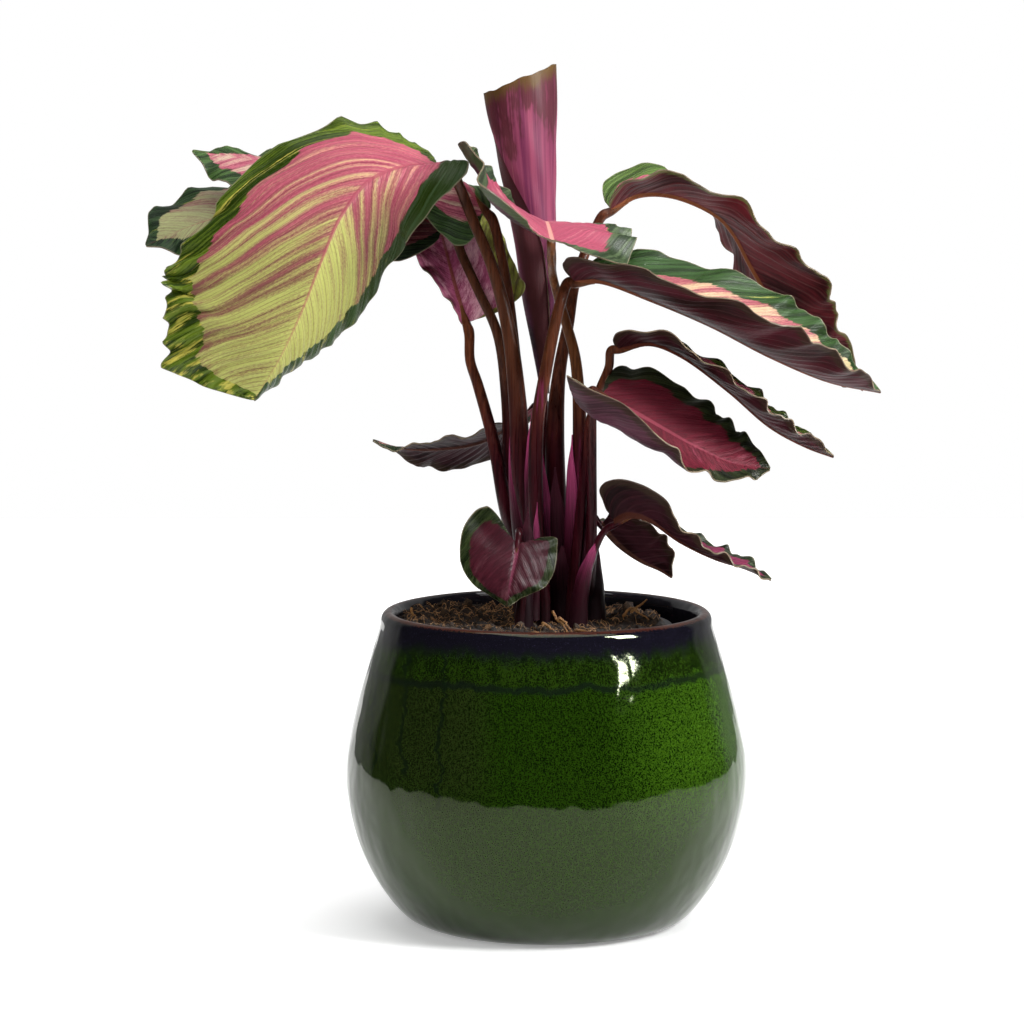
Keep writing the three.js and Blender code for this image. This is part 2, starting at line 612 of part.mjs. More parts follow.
// Peat: fills the grower's pot and lies over its rim on the left side
function soilBody() {
  const bottom = POT_FLOOR + GAP + GROWER_WALL + 0.4 + GAP;
  const brim = GROWER_TOP + GAP;
  const reach = (angle) => 57.6 - GROWER_WALL - GAP + 8.4 * smooth(clamp(-Math.cos(angle) * 1.6 - 0.5, 0, 1));
  const rings = [];
  const ring = (radius, height) => {
    const points = [];
    for (let j = 0; j < SOIL_SIDES; j += 1) {
      const angle = (2 * Math.PI * j) / SOIL_SIDES;
      const r = radius(angle);
      const x = GROWER_SHIFT_X + r * Math.cos(angle);
      const y = r * Math.sin(angle);
      points.push(new THREE.Vector3(x, y, height(x, y, angle)));
    }
    rings.push(points);
  };
  const wall = (z) => growerInside(z) - GAP;
  ring(() => wall(bottom) * 0.5, () => bottom);
  ring(() => wall(bottom), () => bottom);
  ring(() => wall(GROWER_TOP - 1), () => GROWER_TOP - 1);
  ring(() => wall(brim), () => brim);
  ring((angle) => Math.max(reach(angle), wall(brim)), (x, y, angle) => brim + 0.25 + 0.4 * (1 - Math.cos(angle)));
  [0.985, 0.86, 0.7, 0.54, 0.38, 0.2].forEach((share, k) => {
    ring((angle) => reach(angle) * share, (x, y) => Math.max(soilHeight(x, y) - (k === 0 ? 1 : 0), brim + 0.7));
  });
  return loft(rings);
}

const { Manifold, Mesh: ManifoldMesh } = await (async () => {
  const module = await Module();
  module.setup();
  return module;
})();

function toManifold(geometry) {
  const vertProperties = Float32Array.from(geometry.getAttribute('position').array);
  const triVerts = Uint32Array.from(geometry.getIndex().array);
  const mesh = new ManifoldMesh({ numProp: 3, vertProperties, triVerts });
  return Manifold.ofMesh(mesh);
}

function fromManifold(body) {
  const mesh = body.getMesh();
  const geometry = new THREE.BufferGeometry();
  geometry.setAttribute('position', new THREE.BufferAttribute(mesh.vertProperties, 3));
  geometry.setIndex(new THREE.BufferAttribute(mesh.triVerts, 1));
  return geometry;
}

const paint = (colour, roughness) => new THREE.MeshStandardMaterial({ color: colour, roughness });
const GREEN_GLAZE = paint(0x1f5a1c, 0.12);
const BLACK_PLASTIC = paint(0x151515, 0.5);
const PEAT = paint(0x2a1c12, 0.95);
const STALK = paint(0x5a2a26, 0.55);
const ROSY_LEAF = paint(0xc9647a, 0.5);
const WINE_LEAF = paint(0x4a1c2c, 0.5);
const NEW_LEAF = paint(0x9a3a74, 0.5);

const plant = new THREE.Group();
plant.name = 'potted_rosy_calathea';

function place(name, geometry, material) {
  const mesh = new THREE.Mesh(geometry, material);
  mesh.name = name;
  plant.add(mesh);
}

place('glazed_pot', glazedPot(), GREEN_GLAZE);

let grower = toManifold(growerPot());
for (let k = 0; k < DRAIN_HOLES; k += 1) {
  const angle = (2 * Math.PI * k) / DRAIN_HOLES;
  const x = GROWER_SHIFT_X + DRAIN_CIRCLE * Math.cos(angle);
  const y = DRAIN_CIRCLE * Math.sin(angle);
  const drill = Manifold.cylinder(6, DRAIN_RADIUS, DRAIN_RADIUS, 12).translate([x, y, POT_FLOOR - 2]);
  grower = grower.subtract(drill);
}
place('growers_pot', fromManifold(grower), BLACK_PLASTIC);

const holes = [];
const hole = (route, radii) => {
  const foot = [[route[0][0], route[0][1], route[0][2] - GAP], ...route.slice(1, 4)];
  return toManifold(stem(foot, radii.slice(0, 4), { extra: GAP, stations: 5 }));
};

const SEEN_FROM_BELOW = ['rear_upright', 'right_long', 'right_arching', 'right_narrow', 'right_low', 'right_small',
  'left_small'];

Object.entries(LEAVES).forEach(([name, leaf]) => {
  leaf.spine = new Spine(leaf.midrib, leaf.faces);
  leaf.stemRadius = leaf.radii[leaf.radii.length - 1];
  const route = [...leaf.stem, ...lastStemPoints(leaf)];
  place(`blade_${name}`, blade(leaf), SEEN_FROM_BELOW.includes(name) ? WINE_LEAF : ROSY_LEAF);
  place(`stem_${name}`, stem(route, leaf.radii), STALK);
  holes.push(hole(leaf.stem, leaf.radii));
});

const plug = stem([ROLL.plug.bottom, [-1.5, 28.3, 240], ROLL.plug.top], [ROLL.plug.radius, ROLL.plug.radius, 1.8], {
  stations: 3,
});
const rolled = toManifold(rolledSheet(ROLL)).add(toManifold(plug));
place('blade_rolled_new', fromManifold(rolled), NEW_LEAF);
place('stem_rolled_new', stem(ROLL.stem, ROLL.stemRadii), STALK);
holes.push(hole(ROLL.stem, ROLL.stemRadii));

let soil = toManifold(soilBody());
holes.forEach((cut) => {
  soil = soil.subtract(cut);
});
place('soil', fromManifold(soil), PEAT);

export default plant;
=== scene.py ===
"""Potted rosy calathea: fine leaves, stalks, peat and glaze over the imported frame, in a plain studio.

The classes hold their sizes in millimetres, in the frame's axes. A mesh is made in metres.
"""

import logging
import math
from collections.abc import Callable, Sequence
from dataclasses import dataclass, field
from enum import Enum

import bpy
import numpy as np
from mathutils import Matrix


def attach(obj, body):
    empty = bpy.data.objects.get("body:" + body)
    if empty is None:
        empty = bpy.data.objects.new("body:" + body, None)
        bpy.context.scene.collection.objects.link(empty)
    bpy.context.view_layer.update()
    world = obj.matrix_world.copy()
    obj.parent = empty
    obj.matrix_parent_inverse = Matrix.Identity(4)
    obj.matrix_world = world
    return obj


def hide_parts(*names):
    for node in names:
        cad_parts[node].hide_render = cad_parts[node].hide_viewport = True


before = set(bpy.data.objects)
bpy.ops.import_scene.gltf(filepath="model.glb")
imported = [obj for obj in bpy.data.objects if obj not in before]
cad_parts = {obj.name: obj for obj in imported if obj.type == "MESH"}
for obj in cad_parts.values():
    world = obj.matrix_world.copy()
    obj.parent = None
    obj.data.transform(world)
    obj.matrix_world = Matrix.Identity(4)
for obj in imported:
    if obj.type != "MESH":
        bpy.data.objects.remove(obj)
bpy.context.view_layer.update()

LOG = logging.getLogger("calathea")
MM = 0.001
Colour = tuple[float, float, float]
Point = tuple[float, float, float]


class Slot(Enum):
    """The material slots."""

    GLAZE = "glaze"
    PLASTIC = "pot_plastic"
    PEAT = "peat"
    LEAF = "leaf"
    ROLLED = "rolled_leaf"
    STALK = "stalk"


class Joint(Enum):
    """How a stalk meets its blade."""

    IN_LINE = "in line with the midrib"
    UNDER = "from under the midrib"


# Node sums


class Field:
    """A number or colour that varies over a surface: a node's output that sums can be written with."""

    def __init__(self, graph: "Graph", socket: bpy.types.NodeSocket) -> None:
        """Keep the output and the tree that it is in."""
        self.graph, self.socket = graph, socket

    def __add__(self, other: "float | Field") -> "Field":
        """Add."""
        return self.graph.maths("ADD", self, other)

    def __sub__(self, other: "float | Field") -> "Field":
        """Subtract."""
        return self.graph.maths("SUBTRACT", self, other)

    def __rsub__(self, other: float) -> "Field":
        """Subtract this from a number."""
        return self.graph.maths("SUBTRACT", other, self)

    def __mul__(self, other: "float | Field") -> "Field":
        """Multiply."""
        return self.graph.maths("MULTIPLY", self, other)

    __radd__ = __add__
    __rmul__ = __mul__

    def size(self) -> "Field":
        """The number without its sign."""
        return self.graph.maths("ABSOLUTE", self)

    def wave(self, period: float) -> "Field":
        """A wave from 0 to 1, with its crests a period apart."""
        return self.graph.maths("COSINE", self * (math.tau / period)) * 0.5 + 0.5

    def rise(self, low: float, high: float) -> "Field":
        """A smooth step.

        Args:
            low: Where it is still 0.
            high: Where it has reached 1, above or below low.

        Returns:
            The step, from 0 to 1.
        """
        node = self.graph.nodes.new("ShaderNodeMapRange")
        node.interpolation_type = "SMOOTHSTEP"
        for name, value in (("Value", self), ("From Min", low), ("From Max", high)):
            self.graph.plug(node.inputs[name], value)
        return Field(self.graph, node.outputs["Result"])


class Graph:
    """The node tree of a material or of the world."""

    def __init__(self, name: str, world: bool = False) -> None:
        """Start the tree.

        Args:
            name: The name of what it belongs to.
            world: True for a world, False for a material.
        """
        self.owner = (bpy.data.worlds if world else bpy.data.materials).new(name)
        self.owner.use_nodes = True
        self.nodes, self.links = self.owner.node_tree.nodes, self.owner.node_tree.links

    def plug(self, socket: bpy.types.NodeSocket, value: "float | Colour | Field") -> None:
        """Link a socket to a field, or set its constant.

        Args:
            socket: The input.
            value: What goes into it.
        """
        if isinstance(value, Field):
            self.links.new(value.socket, socket)
        else:
            socket.default_value = (*value, 1.0) if isinstance(value, tuple) else value

    def maths(self, operation: str, *numbers: "float | Field") -> Field:
        """Put a maths node on one or two numbers.

        Args:
            operation: What it does with them.
            *numbers: The numbers in their order.

        Returns:
            The result.
        """
        node = self.nodes.new("ShaderNodeMath")
        node.operation = operation
        for socket, number in zip(node.inputs, numbers):
            self.plug(socket, number)
        return Field(self, node.outputs[0])

    def read(self, *names: str) -> list[Field]:
        """Read what the mesh's points carry.

        Args:
            *names: Names of attributes.

        Returns:
            A field for each.
        """
        nodes = [self.nodes.new("ShaderNodeAttribute") for _ in names]
        for node, name in zip(nodes, names):
            node.attribute_name = name
        return [Field(self, node.outputs["Fac"]) for node in nodes]

    def place(self, coordinate: str = "Object", scale: float = 1000.0) -> tuple[Field, Field, Field]:
        """Read where a point of the surface is.

        Args:
            coordinate: Which of Blender's coordinates are read.
            scale: What they are multiplied by, which makes millimetres of metres.

        Returns:
            X, Y and Z.
        """
        where = self.nodes.new("ShaderNodeTexCoord")
        split = self.nodes.new("ShaderNodeSeparateXYZ")
        self.links.new(where.outputs[coordinate], split.inputs[0])
        return tuple(Field(self, out) * scale for out in split.outputs)

    def noise(
        self,
        x: "float | Field",
        y: "float | Field",
        z: "float | Field",
        detail: float = 2.0,
        roughness: float = 0.5,
    ) -> Field:
        """Make cloudy noise.

        Args:
            x: First coordinate, one cloud to the unit.
            y: Second coordinate.
            z: Third coordinate, or a seed.
            detail: How many finer layers are added.
            roughness: How strong the finer layers are.

        Returns:
            The noise, spread so that it reaches near 0 and near 1.
        """
        join = self.nodes.new("ShaderNodeCombineXYZ")
        for socket, value in zip(join.inputs, (x, y, z)):
            self.plug(socket, value)
        node = self.nodes.new("ShaderNodeTexNoise")
        for name, value in (("Scale", 1.0), ("Detail", detail), ("Roughness", roughness)):
            self.plug(node.inputs[name], value)
        self.links.new(join.outputs[0], node.inputs["Vector"])
        return (Field(self, node.outputs[0]) - 0.5) * 1.7 + 0.5

    def mix(self, share: "float | Field", a: "Colour | Field", b: "Colour | Field") -> Field:
        """Mix two colours.

        Args:
            share: How much there is of the second.
            a: The first colour.
            b: The second colour.

        Returns:
            The colour between them.
        """
        node = self.nodes.new("ShaderNodeMix")
        node.data_type = "RGBA"
        for index, value in ((0, share), (6, a), (7, b)):
            self.plug(node.inputs[index], value)
        return Field(self, node.outputs[2])

    def finish(
        self,
        colour: "Colour | Field",
        roughness: "float | Field",
        bump: Field | None = None,
        depth: float = 0.3,
        **constants: "float | Colour",
    ) -> bpy.types.Material:
        """Dress the shader.

        Args:
            colour: Base colour.
            roughness: Roughness.
            bump: Height from 0 to 1, or None for a smooth surface.
            depth: How deep the bump is, in millimetres.
            **constants: Other sockets of the shader by name, with _ for each space.

        Returns:
            The material.
        """
        shader = self.nodes["Principled BSDF"]
        for name, value in {"Base_Color": colour, "Roughness": roughness, **constants}.items():
            self.plug(shader.inputs[name.replace("_", " ")], value)
        if bump is not None:
            node = self.nodes.new("ShaderNodeBump")
            for name, value in (("Strength", 1.0), ("Distance", depth * MM), ("Height", bump)):
                self.plug(node.inputs[name], value)
            self.links.new(node.outputs[0], shader.inputs["Normal"])
        return self.owner


# Finishes


@dataclass(frozen=True)
class Glaze:
    """Bottle-green glaze that turns aubergine under the lip, with a dark ring where it pooled."""

    lip: Colour = (0.045, 0.014, 0.01)
    band: Colour = (0.004, 0.0035, 0.007)
    speck: Colour = (0.035, 0.03, 0.06)
    mottle_dark: Colour = (0.002, 0.006, 0.0006)
    mottle: Colour = (0.013, 0.031, 0.002)
    deep: Colour = (0.002, 0.007, 0.0004)
    green: Colour = (0.0095, 0.027, 0.001)
    # painted light: lighter green where the key light shines through the glaze
    lit_green: Colour = (0.036, 0.092, 0.005)
    olive: Colour = (0.014, 0.023, 0.004)
    pit: Colour = (0.002, 0.008, 0.001)
    pooled: Colour = (0.003, 0.006, 0.004)
    drip: Colour = (0.003, 0.008, 0.003)
    # painted shade near the foot, for the shadowed floor that the glaze reflects there
    base: Colour = (0.004, 0.01, 0.003)
    sheen: Colour = (0.9, 1.0, 0.66)
    inner: tuple[Colour, Colour] = ((0.004, 0.004, 0.006), (0.012, 0.01, 0.014))
    clay: tuple[Colour, Colour] = ((0.2, 0.11, 0.07), (0.33, 0.2, 0.13))
    lip_height: float = 141.0
    band_foot: float = 132.5
    ring: float = 117.5
    drips: Sequence[tuple[float, float]] = ((-46.0, 62.0), (-63.0, 76.0), (-77.0, 74.0))

    def outside(self) -> bpy.types.Material:
        """Paint the outside of the pot, from the body up to the lip and down to the foot.

        Returns:
            The material.
        """
        g = Graph("green_glaze")
        x, y, z = g.place()
        sway = g.noise(x * 0.022, y * 0.022, 3.0, detail=3.0)
        runs = g.noise(x * 0.19, y * 0.19, z * 0.055, detail=4.0, roughness=0.6)
        fine = g.noise(x * 0.9, y * 0.9, z * 0.75, detail=3.0, roughness=0.6)
        grain = g.noise(x * 2.0, y * 2.0, z * 2.0, detail=3.0, roughness=0.7)
        cells = g.noise(x * 2.4, y * 2.4, z * 2.4, detail=1.0)
        level = z + (sway - 0.5) * 7.0
        # Painted light: the glaze turns lighter green towards the right of the upper body, where the key
        # light shines through it, and olive towards the left.
        lit_share = (x + (sway - 0.5) * 24.0).rise(12.0, 74.0) * z.rise(40.0, 92.0)
        shady = (x + (sway - 0.5) * 16.0).rise(-18.0, -40.0) * z.rise(52.0, 84.0)
        green = g.mix(shady, g.mix(lit_share, self.green, self.lit_green), self.olive)
        body = g.mix((fine * 0.3 + grain * 0.7).rise(0.38, 0.6), self.deep, green)
        body = g.mix(cells.rise(0.78, 0.92) * 0.6, body, self.pit)
        mottled = (runs * 0.25 + fine * 0.35 + grain * 0.5).rise(0.44, 0.72)
        mottled = g.mix(mottled, self.mottle_dark, self.mottle)
        body = g.mix((level + (runs - 0.5) * 9.0).rise(self.ring - 1.0, self.ring + 4.0), body, mottled)
        ring = (level - self.ring + (runs - 0.5) * 3.0).size().rise(2.4, 0.4)
        body = g.mix(ring * 0.75, body, self.pooled)
        wiggle = (g.noise(z * 0.06, y * 0.002, 4.0, detail=4.0, roughness=0.6) - 0.5) * 14.0
        wiggle = wiggle + (runs - 0.5) * 3.0
        for line, low in self.drips:
            run = (x + wiggle - line).size().rise(1.0, 0.3) * z.rise(low, low + 4.0) * y.rise(0.0, -4.0)
            body = g.mix(run * 0.75, body, self.drip)
        dark = g.mix(cells.rise(0.8, 0.95) * 0.7, self.band, self.speck)
        drop = level + (runs - 0.5) * 8.0 + (fine - 0.5) * 3.0
        body = g.mix(drop.rise(self.band_foot - 5.5, self.band_foot + 2.0), body, dark)
        top = (z + (fine - 0.5) * 1.2).rise(self.lip_height - 0.3, self.lip_height + 0.5)
        body = g.mix(top, body, self.lip)
        # Painted shade: the glaze darkens towards the foot, for the shadowed floor under the pot that it
        # reflects.
        body = g.mix((z + (sway - 0.5) * 12.0).rise(26.0, 0.5) * 0.75, body, self.base)
        ripple = g.noise(x * 0.045, y * 0.045, z * 0.03) + fine * 0.012
        return g.finish(body, fine * 0.03 + 0.035, ripple, depth=0.75, IOR=1.38, Specular_Tint=self.sheen)

    def inside(self) -> bpy.types.Material:
        """Paint the inside of the pot, nearly black and as shiny.

        Returns:
            The material.
        """
        g = Graph("dark_inner_glaze")
        x, y, z = g.place()
        colour = g.mix(g.noise(x * 0.3, y * 0.3, z * 0.12, detail=3.0), *self.inner)
        return g.finish(colour, 0.08, g.noise(x * 0.06, y * 0.06, z * 0.05), depth=0.6, IOR=1.5)

    def foot(self) -> bpy.types.Material:
        """Paint the unglazed clay under the foot.

        Returns:
            The material.
        """
        g = Graph("bare_clay")
        x, y, z = g.place()
        grit = g.noise(x * 0.8, y * 0.8, z * 0.8, detail=4.0)
        return g.finish(g.mix(grit, *self.clay), 0.85, grit, depth=0.2)


@dataclass(frozen=True)
class MouldedPlastic:
    """Thin black moulded plastic."""

    black: Colour = (0.008, 0.008, 0.009)
    dust: Colour = (0.045, 0.035, 0.028)

    def material(self) -> bpy.types.Material:
        """Paint the plastic, with a little peat dust.

        Returns:
            The material.
        """
        g = Graph("black_plastic")
        x, y, z = g.place()
        dust = g.noise(x * 0.12, y * 0.12, z * 0.12, detail=5.0, roughness=0.65)
        grain = g.noise(x * 3.0, y * 3.0, z * 3.0)
        colour = g.mix(dust.rise(0.55, 0.9) * 0.6, self.black, self.dust)
        return g.finish(colour, dust * 0.25 + 0.3, grain, depth=0.05, IOR=1.5)


@dataclass(frozen=True)
class Peat:
    """Moist dark peat, its crumbs, or its dry fibres."""

    name: str
    dark: Colour
    light: Colour
    share: float = 0.5
    roughness: float = 0.95

    def material(self) -> bpy.types.Material:
        """Paint two colours in clumps on a rough surface.

        Returns:
            The material.
        """
        g = Graph(self.name)
        x, y, z = g.place()
        clump = g.noise(x * 0.16, y * 0.16, z * 0.16, detail=6.0, roughness=0.7)
        grit = g.noise(x * 1.6, y * 1.6, z * 1.6, detail=4.0, roughness=0.7)
        pick = (clump * 0.5 + grit * 0.6).rise(0.85 - self.share, 1.3 - self.share)
        return g.finish(g.mix(pick, self.dark, self.light), self.roughness, grit, depth=0.7)


@dataclass(frozen=True)
class Variegated:
    """The painted side of a blade: a rosy or cream centre, feathered into a green margin.

    Pairs are for the right and the left half. The seed is added to the leaf's own.
    """

    band: tuple[float, float] = (8.0, 8.0)
    band_tip: float = 1.0
    jag: float = 3.5
    green: Colour = (0.055, 0.09, 0.014)
    green_dark: Colour = (0.01, 0.02, 0.003)
    # Painted shade: an optional darker, bluer green for the left half's margin, for shade with a faint sheen.
    shaded_green_left: Colour | None = None
    # Painted highlight: the margin's yellow streaks along the side veins stand in for gloss; streaks sets how
    # many there are.
    painted_highlight: Colour = (0.42, 0.42, 0.09)
    streaks: float = 0.2
    rose: Colour = (0.5, 0.12, 0.17)
    rose_dark: Colour = (0.2, 0.025, 0.055)
    pale: Colour = (0.62, 0.38, 0.26)
    paleness: float = 0.4
    lime: Colour = (0.42, 0.44, 0.13)
    lime_from: float = 2.0
    dusk: Colour = (0.18, 0.1, 0.07)
    dusky: float = 0.8
    drift: float = 0.25
    clear: float = 0.0
    weave: float = 1.0
    ribs: float = 0.3
    rib: Colour = (0.4, 0.06, 0.1)
    rim: Colour = (0.3, 0.26, 0.17)
    vein_pitch: float = 2.7
    roughness: float = 0.34
    gloss: float = 0.22
    seed: float = 0.0

    def material(self, name: str, seed: float) -> bpy.types.Material:
        """Paint the blade along its side veins.

        Args:
            name: The material's name.
            seed: The leaf's seed.

        Returns:
            The material.
        """
        seed += self.seed
        g = Graph(name)
        vein, across, inset, along, reach = g.read("vein", "across", "inset", "along", "reach")
        right = across.rise(-0.01, 0.01)
        stripes = g.noise(vein * (0.15 * self.weave), across * (0.35 / self.weave), seed, detail=1.5)
        threads = g.noise(
            vein * (0.7 * self.weave), across * (1.6 / self.weave), seed + 5.0, detail=3.0, roughness=0.65
        )
        grain = g.noise(vein * 2.1, reach * 0.9, seed + 17.0, detail=3.0, roughness=0.75)
        swell = g.noise(vein * 0.1, across * 1.1, seed + 13.0)
        teeth = g.noise(vein * 0.55, reach * 0.1, seed + 15.0, detail=3.0, roughness=0.75)
        band = right * (self.band[0] - self.band[1]) + self.band[1] + (swell - 0.5) * (2.0 * self.jag)
        band = band * (along * (self.band_tip - 1.0) + 1.0)
        depth = inset - band - (teeth - 0.5) * (1.3 * self.jag)
        inner = depth.rise(-0.3, 0.3)
        limy = (along + (stripes - 0.5) * 0.3 - right * 0.1).rise(self.lime_from, self.lime_from + 0.35)
        rosy = g.mix((threads * 0.6 + grain * 0.6).rise(0.25, 0.95), self.rose_dark, self.rose)
        rosy = g.mix(limy * self.dusky, rosy, self.dusk)
        pale = g.mix(limy, self.pale, self.lime)
        pale = g.mix((threads * 0.5 + grain * 0.7).rise(0.75, 0.2) * 0.6, pale, rosy)
        choice = stripes + (threads - 0.5) * 0.35 + (grain - 0.5) * 0.3 + (along - 0.5) * self.drift
        choice = choice + (1.0 - right) * along.rise(0.25, 0.5) * self.clear - depth.rise(7.0, 0.0) * 0.1
        centre = g.mix(choice.rise(0.8 - self.paleness, 1.2 - self.paleness), rosy, pale)
        line = (vein + (threads - 0.5) * 0.5).wave(self.vein_pitch).rise(0.86, 1.0)
        centre = g.mix(line * self.ribs, centre, self.rose_dark if self.lime_from > 1.5 else self.dusk)
        # Painted shade: where a second green is given for the left half, that half's margin is painted darker
        # and bluer.
        green = g.mix(right, self.shaded_green_left or self.green, self.green)
        tone = g.noise(vein * 0.2, inset * 0.05, seed + 25.0) + (threads - 0.5) * 0.5 + (grain - 0.5) * 0.3
        margin = g.mix(tone.rise(0.3, 0.7), self.green_dark, green)
        # Painted highlight: yellow streaks along the side veins of the margin, fewer near the stalk and on
        # the left half.
        highlight_mask = g.noise(vein * 0.15, inset * 0.045, seed + 21.0, detail=3.0, roughness=0.6)
        highlight_mask = highlight_mask + (threads - 0.5) * 0.35 + (grain - 0.5) * 0.25 - along.rise(0.35, 0.1) * 0.2
        highlight_mask = highlight_mask - (1.0 - right) * 0.08
        margin = g.mix(highlight_mask.rise(0.95 - self.streaks, 1.15 - self.streaks), margin, self.painted_highlight)
        colour = g.mix(inner, margin, centre)
        rib = (reach + along * 0.9 - 1.05).rise(0.3, -0.2) * along.rise(1.2, 0.3)
        colour = g.mix(rib * 0.85, colour, self.rib)
        colour = g.mix(inset.rise(0.55, 0.15) * 0.6, colour, self.rim)
        height = line * -0.5 + threads * 0.35 + grain * 0.3 + reach.rise(0.0, 2.0) * 0.8 + stripes * 1.2
        rough = threads * 0.16 + grain * 0.08 + self.roughness - 0.14 + inner * 0.1
        return g.finish(colour, rough, height, depth=0.3, IOR=1.45, Specular_IOR_Level=self.gloss)


@dataclass(frozen=True)
class Wine:
    """The plain underside of a blade: dark wine red with raised paler ribs.

    The pair is for the right and the left half. The seed is added to the leaf's own.
    """

    dark: Colour = (0.018, 0.006, 0.006)
    mid: Colour = (0.075, 0.012, 0.02)
    vein: Colour = (0.13, 0.05, 0.055)
    rib: Colour = (0.2, 0.06, 0.025)
    edge: Colour = (0.035, 0.022, 0.013)
    edge_width: tuple[float, float] = (3.0, 3.0)
    rim: Colour = (0.17, 0.11, 0.09)
    veins: float = 0.16
    pitch: float = 6.0
    roughness: float = 0.46
    seed: float = 0.0

    def material(self, name: str, seed: float) -> bpy.types.Material:
        """Paint the blade, with the ribs of the side veins.

        Args:
            name: The material's name.
            seed: The leaf's seed.

        Returns:
            The material.
        """
        seed += self.seed
        g = Graph(name)
        vein, across, inset, along, reach = g.read("vein", "across", "inset", "along", "reach")
        clouds = g.noise(vein * 0.045, across * 1.3, seed, detail=4.0, roughness=0.6)
        threads = g.noise(vein * 0.6, across * 1.6, seed + 4.0, detail=4.0, roughness=0.65)
        colour = g.mix((clouds * 0.8 + threads * 0.4).rise(0.35, 0.85), self.dark, self.mid)
        right, left = self.edge_width
        deep = inset - (across.rise(-0.01, 0.01) * (right - left) + left) + (threads - 0.5) * 3.0
        colour = g.mix(deep.rise(1.0, -1.0) * 0.8, colour, self.edge)
        ridge = vein.wave(self.pitch).rise(0.86, 0.99)
        colour = g.mix(ridge * self.veins, colour, self.vein)
        colour = g.mix((reach + along * 1.6 - 2.2).rise(0.4, -0.3) * 0.9, colour, self.rib)
        colour = g.mix(inset.rise(0.6, 0.15) * 0.5, colour, self.rim)
        rough = threads * 0.14 + self.roughness - 0.07
        height = ridge * 0.7 + threads * 0.2
        return g.finish(colour, rough, height, depth=0.16, IOR=1.4, Specular_IOR_Level=0.14)


@dataclass(frozen=True)
class NewLeaf:
    """The rolled leaf's outside: magenta with purple streaks, and an olive feathered top."""

    purple: Colour = (0.12, 0.02, 0.062)
    magenta: Colour = (0.31, 0.068, 0.125)
    pink: Colour = (0.5, 0.16, 0.22)
    low: Colour = (0.06, 0.012, 0.04)
    shade: Colour = (0.014, 0.004, 0.009)
    # dark: the feathered top band, and painted shade on the inner turns of the roll under its outer wrap
    dark: Colour = (0.07, 0.02, 0.02)
    olive: Colour = (0.13, 0.08, 0.02)
    band: float = 10.0

    def material(self) -> bpy.types.Material:
        """Paint the roll from its top down.

        Returns:
            The material.
        """
        g = Graph("rolled_leaf_outside")
        below, along, turned, bearing = g.read("below", "along", "turned", "bearing")
        broad = g.noise(bearing * 0.035, below * 0.006, 2.0)
        threads = g.noise(bearing * 0.22, below * 0.02, 6.0, detail=4.0, roughness=0.7)
        pale = g.noise(bearing * 0.25, below * 0.012, 4.0)
        cloud = g.noise(bearing * 0.022, below * 0.035, 9.0, detail=4.0, roughness=0.6)
        colour = g.mix((broad * 0.8 + threads * 0.35).rise(0.3, 0.8), self.purple, self.magenta)
        colour = g.mix(pale.rise(0.72, 0.95) * 0.6, colour, self.pink)
        low = (along + (cloud - 0.5) * 0.25).rise(0.66, 0.34)
        colour = g.mix(low * 0.85, colour, self.low)
        colour = g.mix(low * cloud.rise(0.45, 0.7) * 0.85, colour, self.shade)
        # Painted shade: the inner turns of the roll, under the outer wrap, are darkened.
        colour = g.mix(turned.rise(262.0, 292.0) * 0.9, colour, self.dark)
        feather = below + (cloud - 0.5) * 44.0 + (threads - 0.5) * 12.0
        colour = g.mix(feather.rise(self.band + 2.0, self.band - 5.0) * 0.75, colour, self.dark)
        rim = below + (threads - 0.5) * 3.0 + (cloud - 0.5) * 8.0
        colour = g.mix(rim.rise(4.5, 0.5) * 0.8, colour, self.olive)
        height = threads * 0.7 + pale * 0.3
        return g.finish(colour, threads * 0.16 + 0.33, height, depth=0.16, IOR=1.45, Specular_IOR_Level=0.2)


@dataclass(frozen=True)
class Stalk:
    """A smooth petiole: brown wine red, flushed magenta low down, with fine lengthwise lines."""

    low: Colour = (0.05, 0.005, 0.01)
    high: Colour = (0.1, 0.028, 0.013)
    flush: Colour = (0.16, 0.02, 0.06)
    flushed: float = 0.15
    knee: Colour = (0.15, 0.06, 0.022)
    # painted shade: near-black just above the peat, where the stalks crowd in shadow
    foot: Colour = (0.012, 0.006, 0.007)

    def material(self, name: str, seed: float) -> bpy.types.Material:
        """Paint the stalk in streaks along it.

        Args:
            name: The material's name.
            seed: Which streaks.

        Returns:
            The material.
        """
        g = Graph(name)
        x, y, z = g.place()
        [along] = g.read("along")
        lines = g.noise(x * 0.7, y * 0.7, z * 0.02 + seed, detail=4.0, roughness=0.6)
        patch = g.noise(x * 0.2, y * 0.2, z * 0.018 + seed * 3.0)
        fine = g.noise(x * 2.0, y * 2.0, z * 0.06)
        low = g.mix((lines * 0.6 + patch * 0.5).rise(0.3, 0.8), tuple(c * 0.3 for c in self.low), self.low)
        high = g.mix(lines.rise(0.25, 0.8), tuple(c * 0.5 for c in self.high), self.high)
        colour = g.mix((z + (lines - 0.5) * 30.0).rise(205.0, 270.0), low, high)
        glow = patch.rise(0.95 - self.flushed * 0.9, 1.08 - self.flushed * 0.9)
        colour = g.mix(glow * z.rise(285.0, 235.0) * z.rise(148.0, 185.0), colour, self.flush)
        # Painted shade: the stalk turns near-black just above the peat, in the crowded, shadowed base of the
        # clump.
        colour = g.mix(z.rise(158.0, 138.0) * 0.75, colour, self.foot)
        colour = g.mix(along.rise(0.9, 0.95) * 0.6, colour, self.knee)
        height = lines * 0.6 + fine * 0.2
        return g.finish(colour, fine * 0.12 + 0.24, height, depth=0.2, IOR=1.45, Specular_IOR_Level=0.22)


